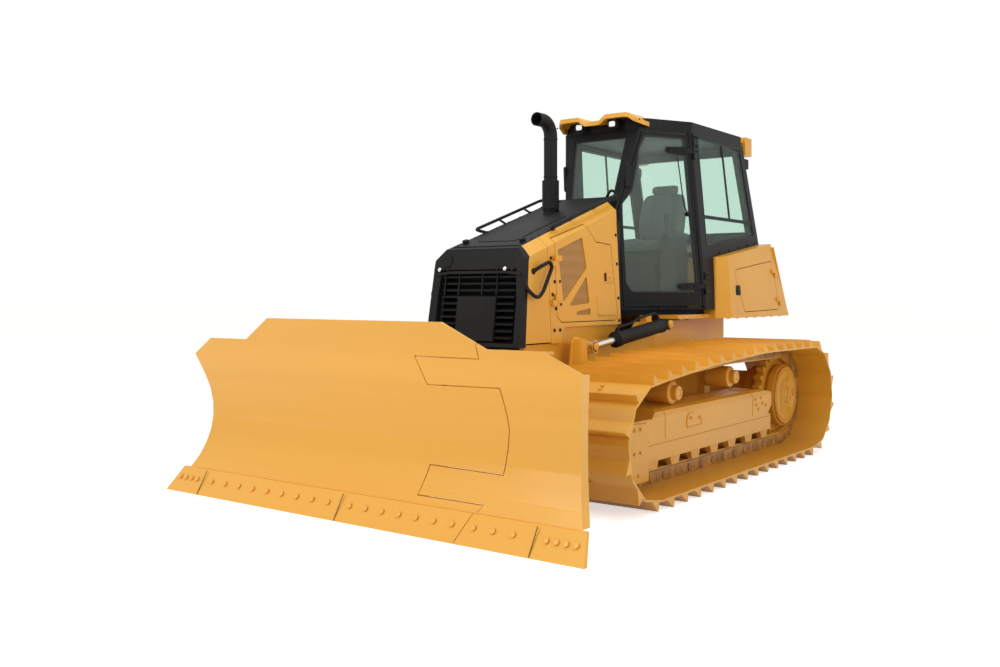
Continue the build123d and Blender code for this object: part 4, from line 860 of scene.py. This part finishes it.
for s in (1, -1):
    flat_out = (0, s, 0)
    seals.tube(round_plan([on_cab_side(x, z, s, -3) for x, z in side_pane], 30), 6, 8, 0, True)
    side_rails.slab([on_cab_side(x, z, s, -9) for x, z in window_rail], flat_out, 8)
    side_rails.slab([on_cab_side(x, z, s, -9) for x, z in window_divider], flat_out, 7)
    for x in (-1130, -1330, -1530, -1730, -1900):
        side_rails.bolt(on_cab_side(x, 1662 - (x + 1000) * 0.147, s), flat_out, 8, 6)
    for k in range(7):
        tread = rect(-370 - 48 * k, -400 - 48 * k, 1207, 1217)
        side_rails.slab([on_door(x, z, s) for x, z in tread], flat_out, 3)
seals.tube(round_plan([at(front_x(z) - 13, y, z) for y, z in windshield], 20), 6, 8, 0, True)
seals.done()
side_rails.done()

# ---------- cab doors
# One door on each side, hung on the middle post by two hinges with bolted straps. Each has a
# tall pane, a pull at its leading edge and a wiper.
hinge_blocks = Mould("door_hinge_blocks", "machine", "cab_black", cab_coat)
for s in (1, -1):
    for low, high in ((1332, 1364), (2508, 2650), (1450, 1510)):
        block = [on_cab_side(post_x(z) + dx, z, s) for dx, z in rect(-6, -92, low, high)]
        hinge_blocks.slab(round_plan(block, 12), (0, s, 0), 14, 3)
    for dx, z in ((-30, 2620), (-72, 2620), (-50, 2550), (-50, 1485)):
        hinge_blocks.bolt(on_cab_side(post_x(z) + dx, z, s, 14), (0, s, 0), 10, 8)
hinge_blocks.done()
wiper_x, wiper_z = -640, 1985
for s, name in sides:
    body = "cab_door_" + name
    flat_out, out = (0, s, 0), door_out(s)
    seal = Mould("door_seal_" + name, body, "dark_plastic", rubber)
    seal.tube(round_plan([on_door(x, z, s, -3) for x, z in door_pane], 24), 6, 8, 0, True)
    seal.done()
    hardware = Mould("door_hardware_" + name, body, "cab_black", cab_coat)
    for z in (1392, 2502):
        x = post_x(z) + hinge_margin
        strap = [on_door(x + dx, z + dz, s) for dx, dz in ((-6, -34), (170, -22), (170, 22), (-6, 34))]
        hardware.slab(round_plan(strap, 14), flat_out, 7, 2)
        for dx in (30, 85, 145):
            hardware.bolt(on_door(x + dx, z, s, 7), out, 9, 7)
    pull = [on_door(x, z, s) for x, z in ((-104, 2176), (-100, 2385), (-150, 2385), (-158, 2176))]
    hardware.slab(round_plan(pull, 24), flat_out, 16, 6)
    arm = ((wiper_x, wiper_z, 3), (wiper_x, wiper_z, 24), (-600, 2050, 22), (-556, 2311, 20),
           (-532, 2452, 16))
    hardware.tube([on_door(x, z, s, lift) for x, z, lift in arm], 5, 8, 20)
    tail = ((wiper_x, wiper_z, 22), (-665, 1889, 18), (-706, 1853, 12))
    hardware.tube([on_door(x, z, s, lift) for x, z, lift in tail], 4, 8, 20)
    hardware.lathe(on_door(wiper_x, wiper_z, s), out, [(0, 20), (16, 18), (24, 12), (24, 4)], 16)
    hardware.slab([on_door(x, z, s) for x, z in rect(-130, -700, 1262, 1268)], flat_out, 3)
    hardware.done()

# ---------- seat and controls
# A high-backed suspension seat with a headrest, between two armrest consoles with their
# levers. The upholstery is woven grey cloth over foam; the consoles are moulded plastic.
cloth = Finish("seat_cloth")
weave = cloth.noise(900.0, 2.0, 0.6, (1.0, 0.4, 1.0))
cloth_tone = cloth.mix(weave.ramp(0.35, 0.65), (0.13, 0.14, 0.145), (0.26, 0.275, 0.28))
cloth_grey = cloth.done(Base_Color=cloth_tone, Roughness=0.92, Sheen_Weight=0.25,
                        Normal=cloth.bump(weave, 0.6, 0.002))
moulded = Finish("moulded_plastic")
moulded_tone = moulded.mix(moulded.noise(40.0), (0.045, 0.047, 0.05), (0.06, 0.062, 0.065))
plastic = moulded.done(Base_Color=moulded_tone, Roughness=moulded.noise(500.0, 2.0) * 0.2 + 0.5)
paint(plastic, "consoles", "dashboard")
seat_tilt = -0.1
back_tilt = 1.72 - math.pi


def cushion(name, rings):
    """Closed cushion through rings given as lists of points, subdivided."""
    form = Mould(name, "machine", "seat_cloth", cloth_grey)
    form.add_rings(rings)
    piece = form.done(60)
    soften = piece.modifiers.new("foam", "SUBSURF")
    soften.levels = soften.render_levels = 2
    return piece


def pad_ring(x, z, thick, half, lean, crown):
    """Ring across the seat at one station: a bolstered top line and a flat underside."""
    along = Vector((math.cos(lean), 0, math.sin(lean)))
    up = Vector((-along.z, 0, along.x))
    top = [(-1.0, 0.45), (-0.88, 0.95), (-0.66, 0.98), (-0.52, 0.62), (-0.3, 0.74), (0.0, 0.78 + crown),
           (0.3, 0.74), (0.52, 0.62), (0.66, 0.98), (0.88, 0.95), (1.0, 0.45)]
    low = [(0.95, 0.0), (0.5, -0.12), (0.0, -0.14), (-0.5, -0.12), (-0.95, 0.0)]
    return [at(x, 0, z) + up * (thick * t / 1000) + Vector((0, half * y / 1000, 0)) for y, t in top + low]


def level_ring(corners, z):
    """Level ring from corners (x, y)."""
    return [at(x, y, z) for x, y in corners]


flat_run = [(-1235, 1752, 60, 215), (-1180, 1748, 92, 228), (-1080, 1735, 96, 238), (-960, 1722, 98, 244),
            (-860, 1712, 96, 246), (-800, 1706, 84, 244), (-772, 1702, 52, 238)]
base = cushion("seat_cushion", [pad_ring(x, z, t, h, seat_tilt, 0.05) for x, z, t, h in flat_run])
back_run = [(-1283, 1790, 60, 200), (-1286, 1830, 104, 222), (-1300, 1930, 112, 232),
            (-1318, 2030, 108, 232), (-1334, 2130, 98, 222), (-1346, 2195, 88, 200), (-1354, 2232, 60, 176)]
cushion("seat_back", [pad_ring(x, z, t, h, back_tilt, 0.05) for x, z, t, h in back_run])
head_run = [(-1355, 2226, 40, 110), (-1352, 2240, 74, 128), (-1358, 2275, 82, 132), (-1364, 2300, 60, 122),
            (-1366, 2309, 30, 100)]
cushion("seat_headrest", [pad_ring(x, z, t, h, back_tilt, 0.1) for x, z, t, h in head_run])
seat_frame = Mould("seat_frame", "machine", "dark_plastic", plastic)
seat_frame.add_rings([level_ring(rect(-1180, -820, -190, 190), z) for z in (1600, 1640, 1702)])
for k in range(6):
    grow = 12 if k % 2 else 0
    fold = rect(-1140 - grow, -850 + grow, -150 - grow, 150 + grow)
    seat_frame.add_rings([level_ring(fold, 1240 + 60 * k), level_ring(fold, 1300 + 60 * k)])
seat_frame.add_rings([level_ring(rect(-1130, -860, -160, 160), z) for z in (1201, 1242)])
seat_frame.done()
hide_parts("seat")
controls = Mould("controls", "machine", "dark_plastic", plastic)
armrest = ((-1000, 282), (-700, 290), (-660, 320), (-660, 385), (-700, 404), (-1000, 404))
lever = [(0, 34), (10, 30), (22, 18), (60, 15), (96, 20), (132, 24), (152, 18), (158, 8)]
for s in (1, -1):
    controls.slab(round_plan([at(x, s * y, 1800) for x, y in armrest], 30), (0, 0, 1), 48, 14)
    controls.lathe(at(-700, s * 346, 1846), (0.12, 0, 1), lever, 18)
screen = [at(-172 + (z - 1960) * 0.2, y, z) for y, z in rect(-110, 110, 1960, 2085)]
controls.slab(screen, (1, 0, 0), 26, 4)
controls.slab([at(-170, y, z) for y, z in rect(-40, 40, 1930, 1965)], (-1, 0, 0), 20)
controls.done()

# ---------- roof, visor and lamps
# The roof is a flat black lid with a yellow visor over its front. Black lamp boxes with clear
# lenses hang under the visor's lobes; yellow boxes carry the rear lamps.
paint(yellow, "visor", "rear_lamps")
paint(black, "front_lamps")
# The lenses are given a faint glow, painted light for their bright look; the lamps are not lit.
lens_new = Finish("lamp_lens_painted_glow")
lens_lines = lens_new.noise(220.0, 1.0, 0.4, (1.0, 3.0, 0.2))
lens = lens_new.done(Base_Color=(0.85, 0.87, 0.88), Roughness=0.12, Emission_Color=(0.9, 0.93, 1.0),
                     Emission_Strength=0.35, Normal=lens_new.bump(lens_lines, 0.5, 0.002))
front_lens_x = -117
rear_lens_x = -1888


def lamp_plan(x, s, corners):
    """Rounded outline across the machine at x, from corners (y, z)."""
    return round_plan([at(x, s * y, z) for y, z in corners], 16)


lenses = Mould("lamp_lenses", "machine", "window_glass", lens)
bezels = Mould("lamp_bezels", "machine", "dark_plastic", black)
for s in (1, -1):
    lenses.slab(lamp_plan(front_lens_x, s, rect(128, 186, 2674, 2718)), (1, 0, 0), 3, 1)
    bezels.tube(lamp_plan(front_lens_x, s, rect(126, 188, 2672, 2720)), 4, 8, 0, True)
    lenses.slab(lamp_plan(rear_lens_x, s, rect(496, 576, 2612, 2730)), (-1, 0, 0), 3, 1)
    bezels.tube(lamp_plan(rear_lens_x, s, rect(492, 580, 2608, 2734)), 5, 8, 0, True)
    side_box = [at(x, s * 575, z) for x, z in rect(-1754, -1854, 2470, 2560)]
    bezels.slab(round_plan(side_box, 14), (0, -s, 0), 42, 5)
    for x, z in ((-330, 2716), (-250, 2717), (-150, 2716)):
        bezels.lathe(at(x, s * 391, z), (0, s, 0), [(-3, 7), (2.5, 7), (3, 4)], 8)
lenses.done()
bezels.done()

# ---------- lift frame and its cylinders
# A yellow C-shaped frame pinned to the machine's sides, its front closed by the angle head.
# Black barrels and chromed rods raise it, angle the blade and tilt it.
paint(yellow, "c_frame", "angle_head")
paint(black, "lift_barrel_left", "lift_barrel_right", "angle_barrel_left", "angle_barrel_right",
      "tilt_barrel")
paint(bright, "lift_rod_left", "lift_rod_right", "angle_rod_left", "angle_rod_right", "tilt_rod")
lift_eye = (820, 960)
lift_length = math.dist(lift_anchor, lift_eye)
lift_line = Vector(((lift_eye[0] - lift_anchor[0]) / lift_length, 0,
                    (lift_eye[1] - lift_anchor[1]) / lift_length))
for s, name in sides:
    glands = Mould("lift_gland_" + name, "lift_barrel_" + name, "black_paint", black)
    foot = at(lift_anchor[0], s * 548, lift_anchor[1])
    gland = [(-2, 50), (6, 50), (10, 44), (18, 44), (20, 38), (20, 28)]
    glands.lathe(foot + lift_line * 0.8, lift_line, gland, 28)
    glands.lathe(foot + lift_line * 0.075, lift_line, [(0, 53), (2, 56), (14, 56), (16, 53)], 32)
    glands.done()
    pin_caps = Mould("lift_pin_caps_" + name, "c_frame", "yellow_paint", yellow)
    eye = at(lift_eye[0], s * 583, lift_eye[1])
    pin_caps.lathe(eye, (0, s, 0), [(-2, 30), (4, 30), (6, 27), (6, 8)], 20)
    pin_caps.lathe(at(-250, s * 575, 620), (0, s, 0), [(-2, 78), (6, 78), (10, 70), (10, 48)], 32)
    pin_caps.done()

# ---------- blade
# A curved steel moldboard in two parts, the left end folding, with bolted cutting edges and
# end bits. Plow bolts lie in a row along them. Yellow enamel all over, with soft light and dark
# bands painted along the blade as reflections.
blade_paint = Finish("blade_enamel_painted_reflections")
# Noise stretched along the blade paints soft horizontal light and dark bands into the colour: painted
# reflections on the glossy moldboard.
painted_reflection_bands = blade_paint.noise(1.1, 3.0, 0.55, (0.6, 0.12, 2.6)).ramp(0.3, 0.72)
blade_banded_tone = blade_paint.mix(painted_reflection_bands, (0.77, 0.385, 0.045), (0.84, 0.43, 0.06))
blade_yellow = blade_paint.done(Base_Color=blade_banded_tone, Roughness=0.33, Coat_Weight=0.16,
                                Coat_Roughness=0.08, Specular_IOR_Level=0.35,
                                Normal=blade_paint.bump(blade_paint.noise(70.0, 2.0), 0.08, 0.001))
paint(blade_yellow, "blade", "blade_wing", "cutting_edge", "wing_edge")
seam_new = Finish("seam_shadow")
seam_dark = seam_new.done(Base_Color=(0.16, 0.07, 0.012), Roughness=0.8)


edge_lean = Vector((0.866, 0, 0.5))
bolt_z = 92
seam_half = 3


def edge_x(z):
    """Front face of the cutting edge."""
    return 2721 - (z / 150) * 86.4


def edge_bolts(places):
    """Places of the plow bolts, from their distances to the left of the middle."""
    return [(at(edge_x(bolt_z), y, bolt_z), (0, 1, 0), edge_lean) for y in places]


plow_bolt = unit_mesh("plow_bolt", turned([(-2, 17), (1.5, 17), (3, 14), (3.2, 6)], 16))
main_row = [-1600, -1540, -1480, -1420]
main_row += [-1265 + 138 * k for k in range(9)]
main_row += [20 + 130 * k for k in range(7)]
repeated("edge_bolts", plow_bolt, edge_bolts(main_row), "blade", blade_yellow)
wing_row = [950, 1080, 1210, 1420, 1480, 1540, 1600]
repeated("wing_edge_bolts", plow_bolt, edge_bolts(wing_row), "wing", blade_yellow)
bpy.data.objects.remove(plow_bolt)
for name, body, places in (("edge_seams", "blade", (-1350, -55)), ("wing_edge_seams", "wing", (1350,))):
    lines = Mould(name, body, "dark_plastic", seam_dark)
    for y in places:
        seam = [at(edge_x(z) + 0.6, y + dy, z) for dy, z in rect(-seam_half, seam_half, 3, 147)]
        lines.slab(seam, (1, 0, 0), 0.8, 0.2)
    lines.done()
